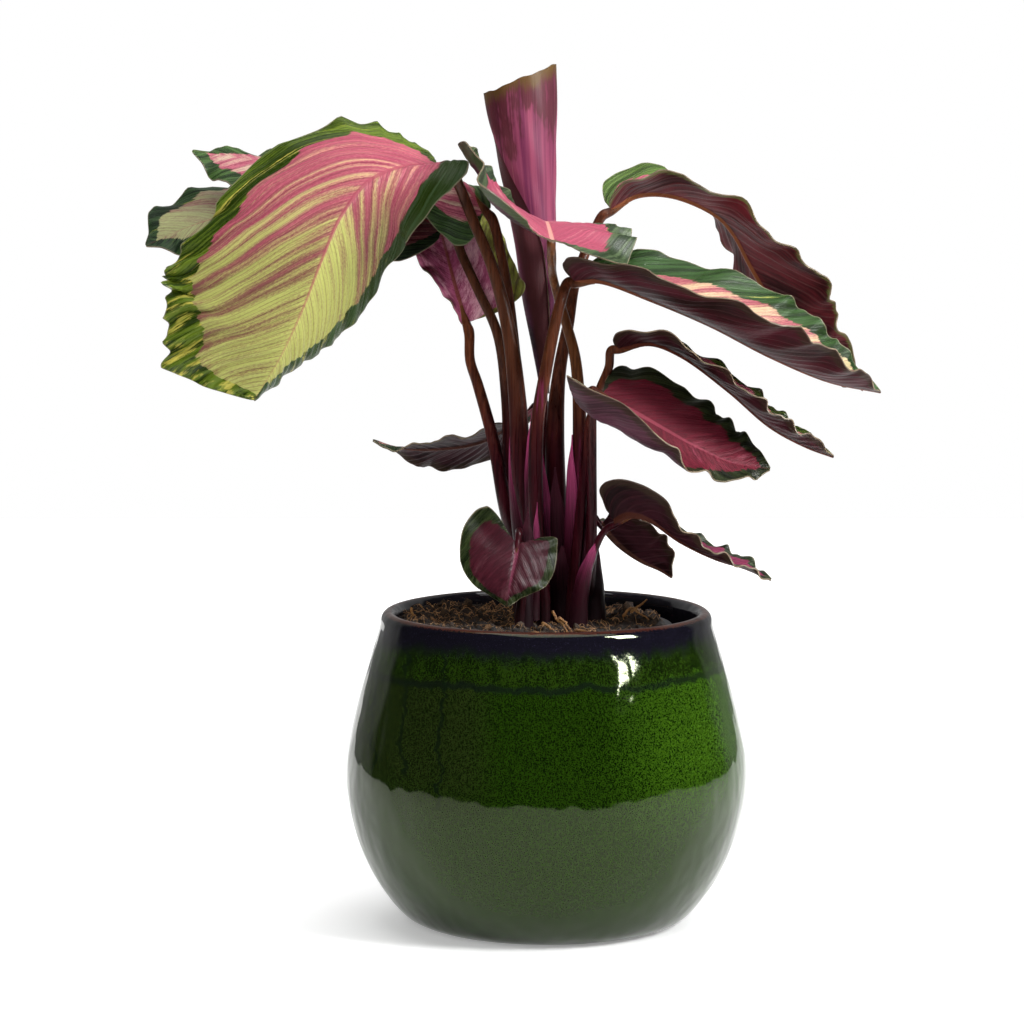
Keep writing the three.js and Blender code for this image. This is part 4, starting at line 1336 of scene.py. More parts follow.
@dataclass
class PeatBed:
    """The peat: a lumpy top with crumbs, fibres and roots on it."""

    top: float = 136.5
    heap: float = 5.5
    brim: float = 135.8
    bottom: float = 12.2
    gap: float = 0.3
    pot: GrowersPot = field(default_factory=GrowersPot)
    sides: int = 150
    rings: int = 52
    crumbs: int = 2300
    fibres: int = 900
    seed: int = 11
    roots: Sequence[Sequence[Point]] = (
        ((2.5, -33, 146), (4, -36, 143), (7, -41, 141), (9, -46, 138.5), (14, -50, 137)),
        ((5, -38, 144), (8, -41, 142), (10, -45, 139.5), (11, -50, 137.5)),
        ((-2, -38, 141.5), (1, -42, 140), (4, -46, 138), (7, -49, 137.5)),
        ((-9, -50, 138), (-5, -51, 139), (-1, -51, 138), (3, -52, 137)),
        ((12, -45, 139), (16, -48, 139.5), (20, -51, 137.5)),
        ((-61, -9, 144), (-60, -11, 141.5), (-57, -14, 139)),
        ((34, -14, 141), (38, -12, 144.5), (42, -13, 142), (46, -16, 140)),
        ((38, -6, 142), (43, -8, 146), (45, -9, 148)),
    )

    def __post_init__(self) -> None:
        """Choose the lumps."""
        self.shift_x = self.pot.shift_x
        self.lumps = Lumps(self.seed, 17.0, 2.6)
        self.rng = np.random.default_rng(self.seed)

    def height(self, x: np.ndarray, y: np.ndarray) -> np.ndarray:
        """Find the height of the peat.

        Args:
            x: Places along X.
            y: Places along Y.

        Returns:
            The height at each place.
        """
        rolls = np.sin(0.19 * x + 1) * np.cos(0.23 * y) + 0.6 * np.sin(0.41 * x - 0.33 * y)
        heap = self.heap * smooth((-x - 18) / 46) * 0.5
        mound = 4 * np.exp(-((x - 42) ** 2 + (y + 6) ** 2) / 130)
        drop = -2.5 * smooth((x - 48) / 8)
        return self.top + 1.1 * rolls + heap + mound + drop + 1.15 * self.lumps.at(x, y)

    def reach(self, turn: np.ndarray) -> np.ndarray:
        """How far the peat spreads: over the grower's rim on the left, inside it elsewhere."""
        return 56.1 + 8.4 * smooth(-np.cos(turn) * 1.6 - 0.5)

    def inner(self, z: float) -> float:
        """The radius just inside the grower's pot at a height."""
        return self.pot.inner(z) - self.gap

    def bed(self, shape: Shape) -> None:
        """Add the body of the peat.

        Args:
            shape: What it is added to.
        """
        turn = np.arange(self.sides) * math.tau / self.sides
        reach = self.reach(turn)
        low, high = self.bottom, self.brim - 1.3
        wall = [(self.inner(low) * 0.5, low)] + [(self.inner(z), z) for z in (low, high, self.brim)]
        rings = [(np.full_like(turn, radius), np.full_like(turn, z)) for radius, z in wall]
        rings.append((np.maximum(reach, self.inner(self.brim)), self.brim + 0.25 + 0.4 * (1 - np.cos(turn))))
        for share in np.linspace(1, 0.03, self.rings) ** 0.8:
            x, y = self.shift_x + reach * share * np.cos(turn), reach * share * np.sin(turn)
            edge = smooth((1 - share) / 0.05)
            z = np.maximum(self.height(x, y) - 1.6 * (1 - edge), self.brim + 0.5)
            rings.append((reach * share * (0.995 if share == 1 else 1), z))
        points = [np.stack([self.shift_x + r * np.cos(turn), r * np.sin(turn), z], -1) for r, z in rings]
        first = shape.add(np.concatenate(points), grid_faces(len(rings), self.sides, wrap=True))
        last = first + (len(rings) - 1) * self.sides
        shape.join([list(range(first + self.sides - 1, first - 1, -1)), list(range(last, last + self.sides))])

    def scatter(self) -> tuple[float, float, float]:
        """Draw a random place on the peat.

        Returns:
            X, Y and Z.
        """
        turn = self.rng.uniform(0, math.tau)
        reach = float(self.reach(np.array(turn))) * math.sqrt(self.rng.uniform(0.02, 0.94))
        x, y = self.shift_x + reach * math.cos(turn), reach * math.sin(turn)
        return x, y, float(self.height(np.array(x), np.array(y)))

    def crumb(self, shape: Shape, size: float, paint: int) -> None:
        """Add one crumb, a bent little lump.

        Args:
            shape: What it is added to.
            size: Its radius.
            paint: Which of the piece's materials it has.
        """
        g = (1 + 5**0.5) / 2
        ball = np.array([
            (-1, g, 0), (1, g, 0), (-1, -g, 0), (1, -g, 0), (0, -1, g), (0, 1, g),
            (0, -1, -g), (0, 1, -g), (g, 0, -1), (g, 0, 1), (-g, 0, -1), (-g, 0, 1),
        ]) / 1.9
        sides = [
            (0, 11, 5), (0, 5, 1), (0, 1, 7), (0, 7, 10), (0, 10, 11), (1, 5, 9), (5, 11, 4), (11, 10, 2),
            (10, 7, 6), (7, 1, 8), (3, 9, 4), (3, 4, 2), (3, 2, 6), (3, 6, 8), (3, 8, 9), (4, 9, 5),
            (2, 4, 11), (6, 2, 10), (8, 6, 7), (9, 8, 1),
        ]
        x, y, z = self.scatter()
        spin, _ = np.linalg.qr(self.rng.normal(size=(3, 3)))
        ball = ball * self.rng.uniform(0.6, 1.25, (12, 1)) * self.rng.uniform(0.55, 1.3, 3) @ spin
        shape.add(ball * size + (x, y, z + size * 0.35), sides, paint)

    def fibre(self, shape: Shape, paint: int) -> None:
        """Add one thin curved fibre lying on the peat.

        Args:
            shape: What it is added to.
            paint: Which of the piece's materials it has.
        """
        x, y, _ = self.scatter()
        heading, bend = self.rng.uniform(0, math.tau), self.rng.normal(0, 0.4)
        length = self.rng.uniform(2.5, 11)
        route = []
        for k in range(9):
            z = float(self.height(np.array(x), np.array(y)))
            route.append((x, y, z + 0.5 + 1.4 * math.sin(math.pi * k / 8) * self.rng.uniform(0.2, 1)))
            x, y = x + length / 8 * math.cos(heading), y + length / 8 * math.sin(heading)
            if math.hypot(x - self.shift_x, y) > float(self.reach(np.array(math.atan2(y, x)))) - 1.5:
                break
            heading += bend
        if len(route) > 3:
            line = catmull(route, np.linspace(0, len(route) - 1, 12))
            tube(shape, line, np.linspace(1, 0.4, 12) * self.rng.uniform(0.1, 0.27), 5, paint)

    def build(self) -> None:
        """Make the peat with everything on it."""
        shape = Shape()
        self.bed(shape)
        for _ in range(self.crumbs):
            self.crumb(shape, float(self.rng.lognormal(-0.35, 0.45)), int(self.rng.choice([0, 1, 1])))
        for _ in range(self.fibres):
            self.fibre(shape, int(self.rng.choice([1, 2, 2])))
        for root in self.roots:
            line = catmull(root, np.linspace(0, len(root) - 1, 30))
            line = line + self.rng.normal(0, 0.16, line.shape)
            tube(shape, line, np.linspace(0.7, 0.25, 30), 7, 3)
        paints = [
            Peat("peat_moist", (0.003, 0.002, 0.0015), (0.03, 0.017, 0.01)).material(),
            Peat("peat_crumbs", (0.006, 0.004, 0.003), (0.085, 0.048, 0.024)).material(),
            Peat("dry_fibres", (0.05, 0.02, 0.007), (0.55, 0.29, 0.12), 0.55, 0.8).material(),
            Peat("roots", (0.12, 0.04, 0.01), (0.36, 0.17, 0.05), 0.6, 0.7).material(),
        ]
        shape.piece("peat_bed", paints, "soil", sharp=70)


# The plant


LEAVES = (
    Leaf(
        "front_left", 3.0,
        Blade(
            midrib=[
                (-47, -14, 342), (-63, -24, 342), (-78, -32, 336), (-90, -38, 321), (-98, -42, 303),
                (-107, -44, 280), (-117, -43, 259), (-129, -36, 240),
            ],
            faces=[(-0.05, -0.5, 0.87), (-0.15, -0.8, 0.6), (-0.25, -0.95, 0.25), (-0.3, -0.95, -0.05)],
            width=([30, 40, 56, 68, 67, 58, 46, 46], [16, 21, 36, 42, 37, 27, 14, 7]),
            fold=([0, 0, 4, 8], [58, -38, -60, -66, -70]),
            curl=([-5, -12, -15, -10], [-25, -30, -30, -25]),
            back=(-0.35, -1.0), sweep=0.62, taper=0.0, waves=(8, 1.7, 0.6), rows=190, columns=40,
            follow=0.6, frill=(0.2, 0.1), scallop=(1.8, 9.5), quilt=0.4,
        ),
        [
            (-4, -3, 127), (-4, -3, 146), (-7, -3, 168), (-11, -4, 201), (-13, -3, 237), (-17, -2, 269),
            (-24, -2, 296), (-33, 0, 318), (-39, -2, 333),
        ],
        [4.5, 4.6, 4.6, 4.5, 3.7, 2.9, 2.5, 2.4, 2.3, 2.2],
        # Painted light on this blade: yellow highlight streaks in the margin, and a darker, bluer left half
        # for shade.
        Variegated(
            band=(13.5, 8.0), jag=1.9, green=(0.12, 0.18, 0.015), green_dark=(0.018, 0.036, 0.002),
            shaded_green_left=(0.045, 0.08, 0.03), painted_highlight=(0.52, 0.46, 0.08), streaks=0.4, rose=(0.52, 0.15, 0.17),
            rose_dark=(0.3, 0.025, 0.08), pale=(0.64, 0.43, 0.23), paleness=0.5, lime=(0.45, 0.47, 0.13),
            lime_from=0.14, dusk=(0.16, 0.07, 0.05), drift=0.6, weave=0.75, clear=0.22, ribs=0.4,
            rib=(0.34, 0.06, 0.09), roughness=0.32,
        ),
        Wine(), Stalk(high=(0.1, 0.032, 0.015)),
        sheaths=[
            Sheath(
                [(-5, -3, 130), (-8, -3, 160), (-12.5, -2, 195), (-14.5, -1.5, 215), (-15.6, -1, 231)],
                [5.3, 5.4, 4.6, 2.4, 0.6], turned=-50,
            ),
            Sheath(
                [(-5, -6, 150), (-6, -7, 180), (-7, -8, 205), (-7.4, -8, 220), (-7, -8, 232)],
                [4.6, 4.2, 3.3, 2.2, 0.6], turned=20,
            ),
        ],
    ),
    Leaf(
        "back_left_low", 7.0,
        Blade(
            midrib=[
                (-46, 20.5, 313), (-62, 25, 320), (-89, 31, 326), (-127, 40, 323), (-159, 42, 315),
                (-183, 36, 305),
            ],
            faces=[(-0.2, -0.35, 0.9), (-0.2, -0.3, 0.95), (-0.4, -0.45, 0.85), (-0.5, -0.6, 0.6)],
            width=([9, 12, 24, 35, 37, 32, 24, 12], [22, 34, 38, 38, 36, 28, 17, 8]),
            fold=([-20, 0, 10], [0, -10, 0]), curl=([-10, -20, -10], [-20, -20, -5]),
        ),
        [
            (-12, 16, 127), (-12, 16, 141), (-15, 15, 165), (-17, 14, 200), (-18, 14, 236), (-22, 12, 266),
            (-31, 14.5, 286), (-38, 19, 301),
        ],
        [3, 3, 3, 2.6, 2.4, 2.2, 2.2, 2.2, 2],
        Variegated(
            jag=2.5, rose=(0.46, 0.14, 0.16), rose_dark=(0.2, 0.05, 0.06),
            pale=(0.46, 0.4, 0.27), paleness=0.55, lime=(0.36, 0.38, 0.17), lime_from=0.45,
            green=(0.035, 0.07, 0.025), green_dark=(0.008, 0.018, 0.007), drift=0.4,
        ),
        Wine(), Stalk(high=(0.08, 0.026, 0.012), flushed=0.1),
    ),
    Leaf(
        "back_left_high", 12.0,
        Blade(
            midrib=[
                (-27, 12, 321), (-38, 14, 334), (-55, 26, 341), (-90, 44, 342), (-127, 54, 343),
                (-163, 54, 348),
            ],
            faces=[(-0.5, -0.5, 0.6), (-0.3, -0.3, 0.9), (0, -0.1, 0.98), (-0.1, -0.35, 0.9)],
            width=([8, 12, 24, 30, 26, 20, 12, 6], [20, 23, 30, 34, 32, 28, 20, 10]),
            fold=([-50, -30, 0, 0], [0, -6, -10]), curl=([-10, -10], [-10, -15, -20]),
            back=(-0.2, -0.8),
        ),
        [
            (-2, 15, 127), (-2, 15, 141), (-6, 16, 172), (-9, 16, 204), (-13, 14, 245), (-17, 12, 282),
            (-20, 11, 300),
        ],
        [3, 3, 3, 2.8, 2.5, 2.3, 2.2, 2],
        Variegated(
            band=(7.0, 7.5), jag=2.5, green=(0.06, 0.12, 0.03), green_dark=(0.012, 0.03, 0.006),
            rose=(0.6, 0.16, 0.22), pale=(0.55, 0.42, 0.3),
        ),
        Wine(), Stalk(),
    ),
    Leaf(
        "rear_upright", 17.0,
        Blade(
            midrib=[
                (-36, 18, 270), (-42, 26, 290), (-47, 35, 308), (-51, 41, 320), (-56, 45, 328),
                (-63, 47, 333),
            ],
            faces=[(0.1, 0.95, 0.1), (0.1, 0.95, 0.1), (0, 0.95, 0.3)],
            width=([2, 4, 9, 14, 17, 14, 9, 4], [33, 29, 27, 25, 20, 14, 8, 4]),
            curl=([-10, -25, -20], [5, 0, -20]), back=(0.3, 0.0), sweep=0.5,
        ),
        [
            (-11, 7, 127), (-11, 7, 141), (-13, 6, 165), (-19, 5, 191), (-24, 9, 218), (-31, 14, 243),
            (-34.5, 15, 254),
        ],
        [3.5, 3.5, 3.4, 3, 2.6, 2.3, 2.2, 2], Variegated(band=(7.0, 8.0)),
        # Painted light: the underside faces the camera and is painted with a pink centre, pale sheen patches
        # and a lime margin, as if the light behind shone through the blade.
        Variegated(
            band=(-1.0, 10.0), jag=2.6, green=(0.3, 0.33, 0.06), green_dark=(0.12, 0.09, 0.03), streaks=0.1,
            rose=(0.56, 0.13, 0.26), rose_dark=(0.2, 0.035, 0.08), pale=(0.72, 0.4, 0.46), paleness=0.42,
            weave=0.35, ribs=0.0, rib=(0.2, 0.05, 0.03), roughness=0.42, seed=1.0,
        ),
        Stalk(high=(0.15, 0.042, 0.017)),
    ),
    Leaf(
        "centre_flat", 22.0,
        Blade(
            midrib=[(2, -38, 310), (0, -22, 317), (-1, -6, 317), (-1, 8, 314), (-2, 20, 310)],
            faces=[(0.1, -0.35, 0.95), (0, 0, 1), (0, 0.3, 0.95)],
            width=([25, 35, 40, 38, 34, 28, 20, 11], [42, 50, 52, 46, 40, 32, 22, 12]),
            fold=([-8, 0, 12], [14, 18, 22]), curl=([-10, -15, -10], [58, 52, 48]), back=(-0.5, -0.5),
            sweep=0.4, waves=(5, 2.6), columns=36, frill=(0.1, 0.2), scallop=(0.0, 9.0),
        ),
        [
            (14, -4, 127), (14, -4, 143), (15, -3, 183), (15, -3, 224), (13, -4, 255), (9, -4, 271),
            (5, -6, 284), (2.5, -14, 294), (2, -26, 301),
        ],
        [4.2, 4.2, 4.1, 3.5, 2.7, 2.4, 2.2, 2, 1.9, 1.8, 1.8],
        Variegated(
            band=(11.0, 9.0), jag=2.4, green=(0.075, 0.11, 0.05), green_dark=(0.02, 0.035, 0.015),
            rose=(0.44, 0.09, 0.14), rose_dark=(0.26, 0.035, 0.075), pale=(0.66, 0.3, 0.3), paleness=0.22,
            ribs=0.2, rib=(0.62, 0.3, 0.24), roughness=0.38,
        ),
        Wine(mid=(0.12, 0.03, 0.055), edge=(0.05, 0.085, 0.03), edge_width=(2.0, 10.0)),
        Stalk(high=(0.17, 0.06, 0.02), flushed=0.35),
        Joint.UNDER,
        [
            Sheath(
                [(12.5, -5, 130), (12.3, -5, 155), (12.2, -5, 182), (11.9, -5, 205), (11.7, -5, 222)],
                [5, 4.9, 4.3, 2.8, 0.6], turned=-40,
            ),
            Sheath(
                [(19, -8, 128), (19, -8, 145), (18.5, -8, 160), (18, -9, 175), (18, -10, 190)],
                [8, 7.4, 6.6, 5, 2], dark=True,
            ),
        ],
    ),
    Leaf(
        "right_long", 26.0,
        Blade(
            midrib=[
                (13, -12, 290.5), (23, -17, 291.5), (46, -24, 283.5), (72, -30, 272.5), (98, -33, 259),
                (124, -32, 248), (147, -28, 243),
            ],
            faces=[(0.1, -0.1, 0.95), (0.3, -0.1, 0.9), (0.3, -0.1, 0.9), (0.2, -0.1, 0.95)],
            width=([17, 18, 28, 36, 33, 27, 20, 10], [20, 26, 31, 33, 31, 26, 18, 9]),
            fold=([26, 10, 17, 10], [26, 38, 42, 36]), curl=([36, 42, 38, 24], [10, 10]),
            back=(-0.6, -0.15), waves=(6, 2.2),
        ),
        [
            (-1, -13, 127), (-1, -13, 143), (-4, -14, 175), (-5, -15, 203), (-4, -16, 230), (0, -17, 254),
            (4, -16, 274), (7, -14, 285),
        ],
        [3.6, 3.6, 3.4, 3.2, 2.8, 2.6, 2.4, 2.3, 2.2],
        Variegated(
            band=(7.0, 16.0), band_tip=0.15, jag=2.6, green=(0.035, 0.085, 0.02),
            green_dark=(0.01, 0.028, 0.004), rose=(0.55, 0.17, 0.18), pale=(0.64, 0.46, 0.28),
            paleness=0.55, lime=(0.45, 0.46, 0.2), lime_from=0.75,
        ),
        Wine(dark=(0.015, 0.007, 0.006)), Stalk(high=(0.11, 0.032, 0.014)),
    ),
    Leaf(
        "right_arching", 31.0,
        Blade(
            midrib=[
                (29, 25, 321), (41, 26, 328), (57, 26, 328), (77.2, 25, 319.2), (85, 24, 310.8),
                (93.4, 22, 295), (114, 17, 262), (143, 8, 241),
            ],
            faces=[(0, -0.1, 0.95), (0.1, 0.1, 0.95), (0.45, 0.7, 0.5), (0.4, 0.85, 0.3), (0.5, 0.75, 0.4)],
            width=([10, 18, 18, 29, 34, 29, 19, 8], [22, 23, 13, 16, 20, 16, 12, 8]),
            fold=([38, 12, -26, -8, 0, 0], [30, 28, 26, 28, 36, 40]),
            curl=([15, 10, 0, 0, 0], [10, 10, 10, 10, 0]),
            back=(-0.25, -0.05), sweep=0.45, waves=(7, 2.2), rows=150,
        ),
        [
            (6, 4, 127), (6, 4, 141), (5, 4, 182), (4, 5, 223), (6, 8, 250), (10, 12, 271), (13, 18, 289),
            (18, 23, 303), (22, 25, 312.5),
        ],
        [4.6, 4.6, 4.6, 4.2, 3, 2.6, 2.4, 2.3, 2.2, 2.1, 2],
        Variegated(
            band=(9.0, 9.5), band_tip=0.5, jag=2.2, green=(0.1, 0.17, 0.035),
            green_dark=(0.03, 0.06, 0.008), rose=(0.62, 0.16, 0.22), paleness=0.2,
        ),
        Wine(
            dark=(0.03, 0.007, 0.008), mid=(0.14, 0.02, 0.026), edge=(0.13, 0.16, 0.05),
            edge_width=(1.4, 0.2), vein=(0.24, 0.13, 0.12), rib=(0.24, 0.08, 0.03), pitch=8.0,
        ),
        Stalk(high=(0.11, 0.034, 0.016)),
        sheaths=[
            Sheath(
                [(3, 2, 130), (2.5, 1, 150), (1, 0, 175), (-0.8, -1, 200), (-2.2, -1.5, 219)],
                [5.2, 5, 4, 2.6, 0.6], turned=-30,
            ),
            Sheath(
                [(5.5, 1, 128), (5.3, 1, 150), (4.8, 1, 170), (4.2, 1, 190), (3.7, 0, 207)],
                [8, 7, 6.2, 5, 3], (220, 200, 150, 90, 16), dark=True,
            ),
            Sheath(
                [(8, -5, 126), (8, -5, 138), (7.5, -5, 150), (7, -4, 162), (7, -3, 172)], [9, 8, 7, 6, 4],
                (220, 190, 150, 110, 20), dark=True,
            ),
        ],
    ),
    Leaf(
        "right_narrow", 36.0,
        Blade(
            midrib=[
                (32, -22, 261.5), (45.5, -28, 264.5), (59, -33, 259.5), (79.5, -40, 244.5),
                (97.5, -44, 229), (113, -46, 220.5), (125, -46, 216),
            ],
            faces=[(0, -0.1, 0.95), (0.3, 0, 0.9), (0.4, 0, 0.9), (0.3, 0, 0.95)],
            width=([13, 15, 16, 20, 19, 16, 11, 6], [10, 12, 14, 18, 18, 15, 10, 5]),
            fold=([24, 10, 14, 20], [12, 12, 18, 22]), curl=([20, 20], [10, 10]), waves=(6, 1.6),
        ),
        [
            (11, -15, 127), (11, -15, 143), (14, -14, 175), (17, -14, 207), (19, -14, 227),
            (23.5, -17, 243), (27.5, -19, 253.5),
        ],
        [2.6, 2.6, 2.5, 2.3, 2.1, 2, 1.9, 1.8], Variegated(band=(5.0, 5.0)),
        Wine(mid=(0.055, 0.012, 0.018), rib=(0.12, 0.035, 0.02)),
        Stalk(high=(0.12, 0.036, 0.015)),
    ),
    Leaf(
        "right_crimson", 41.0,
        Blade(
            midrib=[
                (23, -28, 242), (38, -36, 235), (51, -42, 228), (64, -47, 221), (80, -50, 214),
                (97, -50, 211),
            ],
            faces=[(0.15, -0.75, 0.65), (0.2, -0.75, 0.65), (0.2, -0.7, 0.7)],
            width=([29, 38, 38, 30, 21, 13, 8, 4], [18, 24, 27, 25, 23, 20, 16, 9]),
            fold=([-15, -15, -12, -10], [5, 0, 0, 0]),
            curl=([140, 125, 50, 10], [-10, -10]),
            back=(-0.5, -0.5), sweep=0.5, waves=(5, 1.8), columns=36,
        ),
        [(19, -12, 127), (19, -12, 143), (20, -15, 176), (20, -19, 208), (20, -22, 228), (20, -24, 237)],
        [2.6, 2.6, 2.5, 2.2, 2, 1.9, 1.8, 1.8],
        Variegated(
            band=(5.0, 7.0), jag=2.4, green=(0.022, 0.03, 0.01), green_dark=(0.006, 0.009, 0.003),
            streaks=0.02, rose=(0.17, 0.014, 0.03), rose_dark=(0.075, 0.007, 0.014), pale=(0.3, 0.05, 0.09),
            paleness=0.12, weave=0.6, ribs=0.1, rib=(0.3, 0.05, 0.08), roughness=0.42,
        ),
        Wine(dark=(0.03, 0.012, 0.016), mid=(0.1, 0.035, 0.055), vein=(0.16, 0.08, 0.09)),
        Stalk(high=(0.12, 0.036, 0.016)),
    ),
    Leaf(
        "right_low", 46.0,
        Blade(
            midrib=[
                (30, -26, 184), (36, -30, 188), (45, -35, 187), (59, -41, 178), (74, -45, 171),
                (87, -47, 167), (98, -48, 162),
            ],
            faces=[(0.1, 0, 0.95), (0.3, 0, 0.9), (0.3, -0.1, 0.9), (0.3, -0.2, 0.9)],
            width=([17, 17, 14, 13, 12, 11, 8, 4], [14, 15, 16, 16, 15, 12, 8, 4]),
            fold=([80, 28, 12, 8], [6, 4, 5, 6]), curl=([10, 20, 20, 10], [10, 10, 10, 0]), waves=(5, 1.5),
            rows=110, columns=22,
        ),
        [(14, -22, 127), (14, -22, 143), (18, -21, 161), (22, -23, 174), (25, -24, 180)],
        [2.2, 2.2, 1.8, 1.6, 1.5, 1.5],
        Variegated(
            band=(3.5, 3.5), jag=1.5, green=(0.03, 0.045, 0.016), green_dark=(0.008, 0.012, 0.004),
            rose=(0.3, 0.04, 0.11), rose_dark=(0.12, 0.012, 0.035), paleness=0.05,
        ),
        Wine(dark=(0.008, 0.003, 0.003), mid=(0.035, 0.008, 0.013), veins=0.12, rib=(0.07, 0.02, 0.012)),
        Stalk(high=(0.07, 0.018, 0.01), flushed=0.1),
        sheaths=[
            Sheath(
                [
                    (13.5, -20, 128), (14.5, -20.5, 148), (17, -21.5, 162), (20, -23, 171),
                    (22.3, -23.5, 177),
                ],
                [4.4, 4, 3.2, 2.2, 0.5],
            ),
        ],
    ),
    Leaf(
        "right_small", 51.0,
        Blade(
            midrib=[(24, 12, 180), (33, 12, 170), (43, 10, 163), (52, 8, 159), (57, 6, 156)],
            faces=[(0.3, 0.8, 0.4), (0.4, 0.8, 0.4), (0.4, 0.8, 0.4)],
            width=([12, 16, 18, 18, 17, 14, 10, 5], [10, 14, 16, 16, 15, 12, 8, 4]),
            fold=([0, 0], [60, 60, 50]), curl=([20, 10, 0], [20, 20, 0]), waves=(4, 1.2), rows=90,
            columns=20,
        ),
        [(18, 7, 127), (18, 7, 141), (18, 10, 161), (18, 11, 174), (20, 12, 181)],
        [2, 2, 1.7, 1.5, 1.4, 1.4], Variegated(band=(3.5, 3.5)),
        Wine(
            dark=(0.02, 0.006, 0.007), mid=(0.07, 0.02, 0.028), vein=(0.16, 0.08, 0.09),
            rib=(0.12, 0.05, 0.035),
        ),
        Stalk(flushed=0.1),
    ),
    Leaf(
        "front_heart", 56.0,
        Blade(
            midrib=[(-13, -31, 177), (-14, -34, 170), (-16, -37, 161), (-18, -38, 149)],
            faces=[(-0.05, -0.9, 0.4), (-0.05, -0.97, 0.2), (-0.05, -0.97, 0.1)],
            width=([10, 16, 22, 25, 24, 17, 9, 3], [14, 18, 18, 18, 16, 11, 5, 3]),
            fold=([5, 5], [0, 0]), curl=([-15, -20, -20], [-40, -30, -20]), back=(-1.3, -0.5),
            lobe=0.8, lobed=True, sweep=0.1, waves=(3, 0.8), rows=110, columns=26, quilt=0.2,
            frill=(0.2, 0.2),
        ),
        [(-12, -22, 127), (-12, -22, 141), (-11, -23, 154), (-12, -24, 170), (-12.5, -26, 181)],
        [2.4, 2.4, 2, 1.6, 1.5, 1.4, 1.4],
        Variegated(
            band=(4.6, 4.4), jag=1.3, green=(0.028, 0.04, 0.012), green_dark=(0.007, 0.012, 0.003),
            streaks=0.02, rose=(0.06, 0.006, 0.014), rose_dark=(0.02, 0.002, 0.005), pale=(0.1, 0.03, 0.04),
            paleness=0.12, weave=0.4, ribs=0.1, rib=(0.16, 0.025, 0.055), rim=(0.26, 0.22, 0.14),
            roughness=0.3,
        ),
        Wine(), Stalk(flushed=0.3),
        sheaths=[
            Sheath(
                [(-10, -20, 128), (-9.7, -20, 145), (-9.2, -20, 162), (-8.8, -20, 178), (-8.6, -19.5, 191)],
                [3.8, 3.5, 3.2, 2.7, 0.9], (220, 200, 180, 150, 40), dark=True,
            ),
            Sheath(
                [(-5.5, -18, 140), (-5.4, -18, 155), (-5, -18, 170), (-4.7, -18, 182), (-4.4, -18, 193)],
                [2.4, 2.2, 2, 1.5, 0.3],
            ),
        ],
    ),
    Leaf(
        "left_small", 61.0,
        Blade(
            midrib=[
                (-5, 36, 232), (-16, 36, 223), (-31, 33, 215), (-51, 28, 212.5), (-67, 24, 213.5),
                (-79, 22, 217),
            ],
            faces=[(-0.2, -0.2, 0.9), (-0.2, 0.5, 0.8), (-0.1, 0.5, 0.8), (-0.1, -0.3, 0.9)],
            width=([10, 15, 17, 16, 14, 10, 7, 4], [10, 15, 17, 16, 14, 10, 7, 4]),
            curl=([-20, -20], [-20, -20]), waves=(4, 1.2), rows=100, columns=22,
        ),
        [(0, 33, 127), (0, 33, 140), (-1, 36, 179), (1, 37, 216), (1, 37, 229)],
        [2.4, 2.4, 2.1, 1.8, 1.7, 1.6, 1.6],
        Variegated(band=(3.5, 3.5), rose=(0.3, 0.1, 0.12), green=(0.04, 0.06, 0.03)),
        Wine(
            dark=(0.016, 0.008, 0.009), mid=(0.055, 0.02, 0.026), vein=(0.2, 0.13, 0.14),
            rib=(0.1, 0.04, 0.03), veins=0.22, pitch=5.5,
        ),
        Stalk(),
    ),
)


# Studio


@dataclass
class SoftBox:
    """A flat studio light. Its sizes are in metres, its power is in watts and its spread in degrees."""

    name: str
    place: Point
    aim: Point
    size: tuple[float, float]
    power: float
    mirrored: bool = True
    lights: bool = True
    spread: float = 180.0

    def build(self) -> None:
        """Hang the light and turn it to its aim."""
        light = bpy.data.lights.new(self.name, "AREA")
        light.shape = "RECTANGLE"
        light.size, light.size_y = self.size
        light.energy = self.power
        light.spread = math.radians(self.spread)
        obj = bpy.data.objects.new(self.name, light)
        obj.visible_glossy = self.mirrored
        obj.visible_diffuse = self.lights
        obj.location = self.place
        x, y, z = np.array(self.aim) - np.array(self.place)
        obj.rotation_euler = (math.atan2(math.hypot(x, y), -z), 0.0, math.atan2(-x, y))
        bpy.context.scene.collection.objects.link(obj)


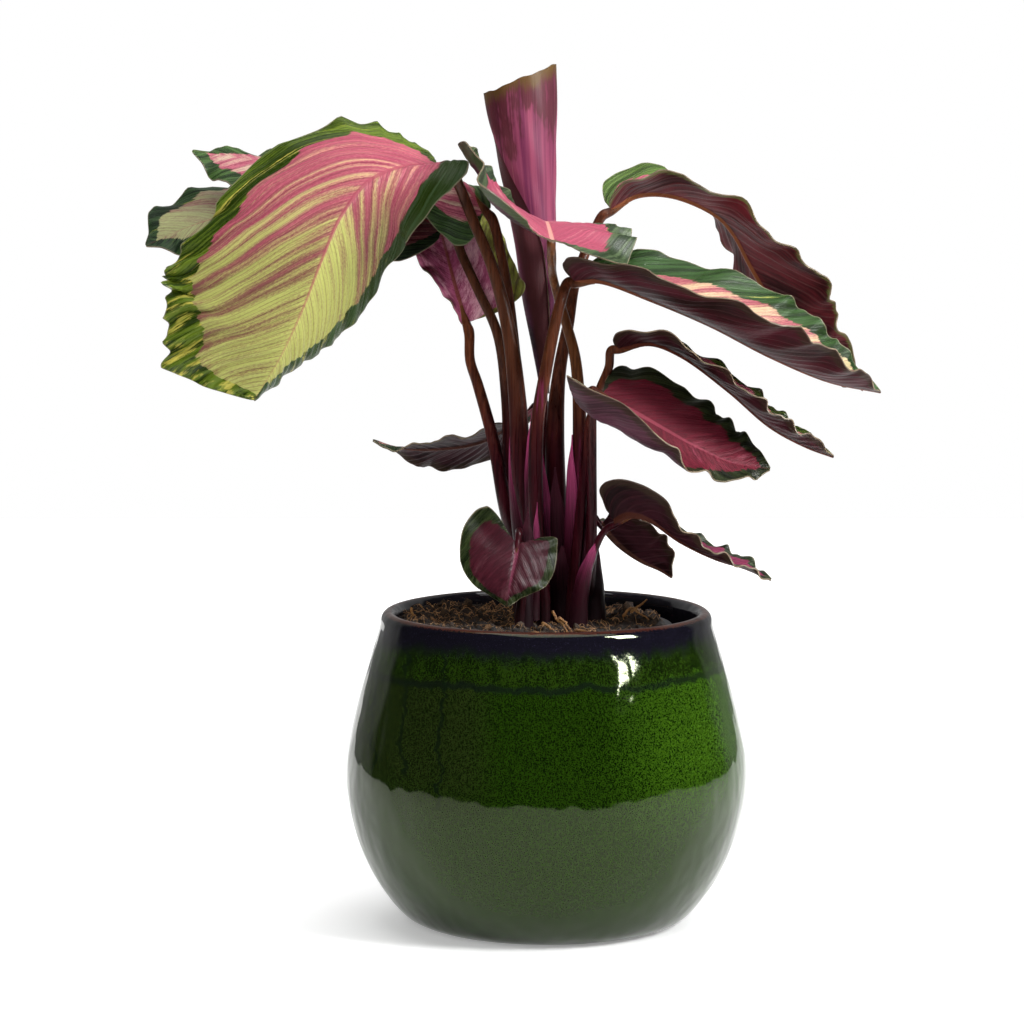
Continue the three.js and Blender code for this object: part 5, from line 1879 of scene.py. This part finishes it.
@dataclass
class Studio:
    """A white floor that glows a little, a white wall, soft boxes and the camera, in metres."""

    floor_side: float = 0.75
    floor_front: float = -0.5
    floor_back: float = 1.6
    whites: tuple[Colour, Colour] = ((0.9, 0.9, 0.9), (0.92, 0.92, 0.92))
    glow: float = 0.28
    room: float = 0.03
    wall: float = 0.3
    wall_from: tuple[float, float] = (0.42, 0.6)
    camera_place: Point = (-0.0156, -1.6, 0.366)
    camera_tilt: float = 83.6
    lens: float = 125.5
    boxes: Sequence[SoftBox] = (
        SoftBox("key_strip", (0.94, -0.63, 0.8), (0.0, 0.0, 0.2), (0.28, 0.48), 4.2, spread=80.0),
        SoftBox("glint", (0.93, -0.63, 0.8), (0.0, 0.0, 0.12), (0.26, 0.48), 26.0, lights=False),
        SoftBox("top_box", (0.1, -0.25, 1.7), (0.0, 0.0, 0.1), (1.5, 1.5), 20.0),
        SoftBox("front_fill", (-0.9, -1.7, 1.0), (-0.03, 0.0, 0.25), (1.2, 1.2), 18.0, mirrored=False),
        SoftBox("back_wash", (0.0, 1.3, 1.3), (0.0, 1.3, 0.0), (2.6, 1.4), 26.0, mirrored=False),
    )

    def floor(self) -> None:
        """Lay the floor."""
        x, front, back = self.floor_side, self.floor_front, self.floor_back
        mesh = bpy.data.meshes.new("floor")
        mesh.from_pydata([(-x, front, 0), (x, front, 0), (x, back, 0), (-x, back, 0)], [], [(0, 1, 2, 3)])
        g = Graph("white_floor")
        across, deep, _ = g.place()
        white = g.mix(g.noise(across * 0.004, deep * 0.004, 1.0), *self.whites)
        mesh.materials.append(g.finish(white, 0.9, Emission_Strength=self.glow))
        obj = bpy.data.objects.new("floor", mesh)
        bpy.context.scene.collection.objects.link(obj)

    def world(self) -> None:
        """Make all white for the camera, and for the light a white wall behind and a dark room in front."""
        g = Graph("studio", world=True)
        _, away, _ = g.place("Generated", 1.0)
        light = away.rise(*self.wall_from) * (self.wall - self.room) + self.room
        seen = Field(g, g.nodes.new("ShaderNodeLightPath").outputs["Is Camera Ray"])
        sky = g.nodes["Background"]
        g.plug(sky.inputs["Color"], (1.0, 1.0, 1.0))
        g.plug(sky.inputs["Strength"], g.maths("MAXIMUM", light, seen))
        bpy.context.scene.world = g.owner

    def camera(self) -> None:
        """Stand the camera where the photograph was taken."""
        lens = bpy.data.cameras.new("camera")
        lens.lens = self.lens
        lens.sensor_width = 36.0
        lens.clip_end = 50.0
        obj = bpy.data.objects.new("camera", lens)
        obj.location = self.camera_place
        obj.rotation_euler = (math.radians(self.camera_tilt), 0.0, 0.0)
        bpy.context.scene.collection.objects.link(obj)
        bpy.context.scene.camera = obj

    def build(self) -> None:
        """Set up the studio."""
        self.floor()
        self.world()
        for box in self.boxes:
            box.build()
        self.camera()
        bpy.context.scene.view_settings.view_transform = "Standard"
        LOG.info("studio: %d lights", len(self.boxes))


def main() -> None:
    """Build every piece, then the studio."""
    logging.basicConfig(level=logging.INFO, format="%(name)s: %(message)s")
    rim = Rim().material()
    GlazedPot().build()
    GrowersPot().build()
    PeatBed().build()
    for number, leaf in enumerate(LEAVES, 1):
        leaf.build(rim, number)
    RolledLeaf().build(rim)
    Studio().build()


if __name__ == "__main__":
    main()
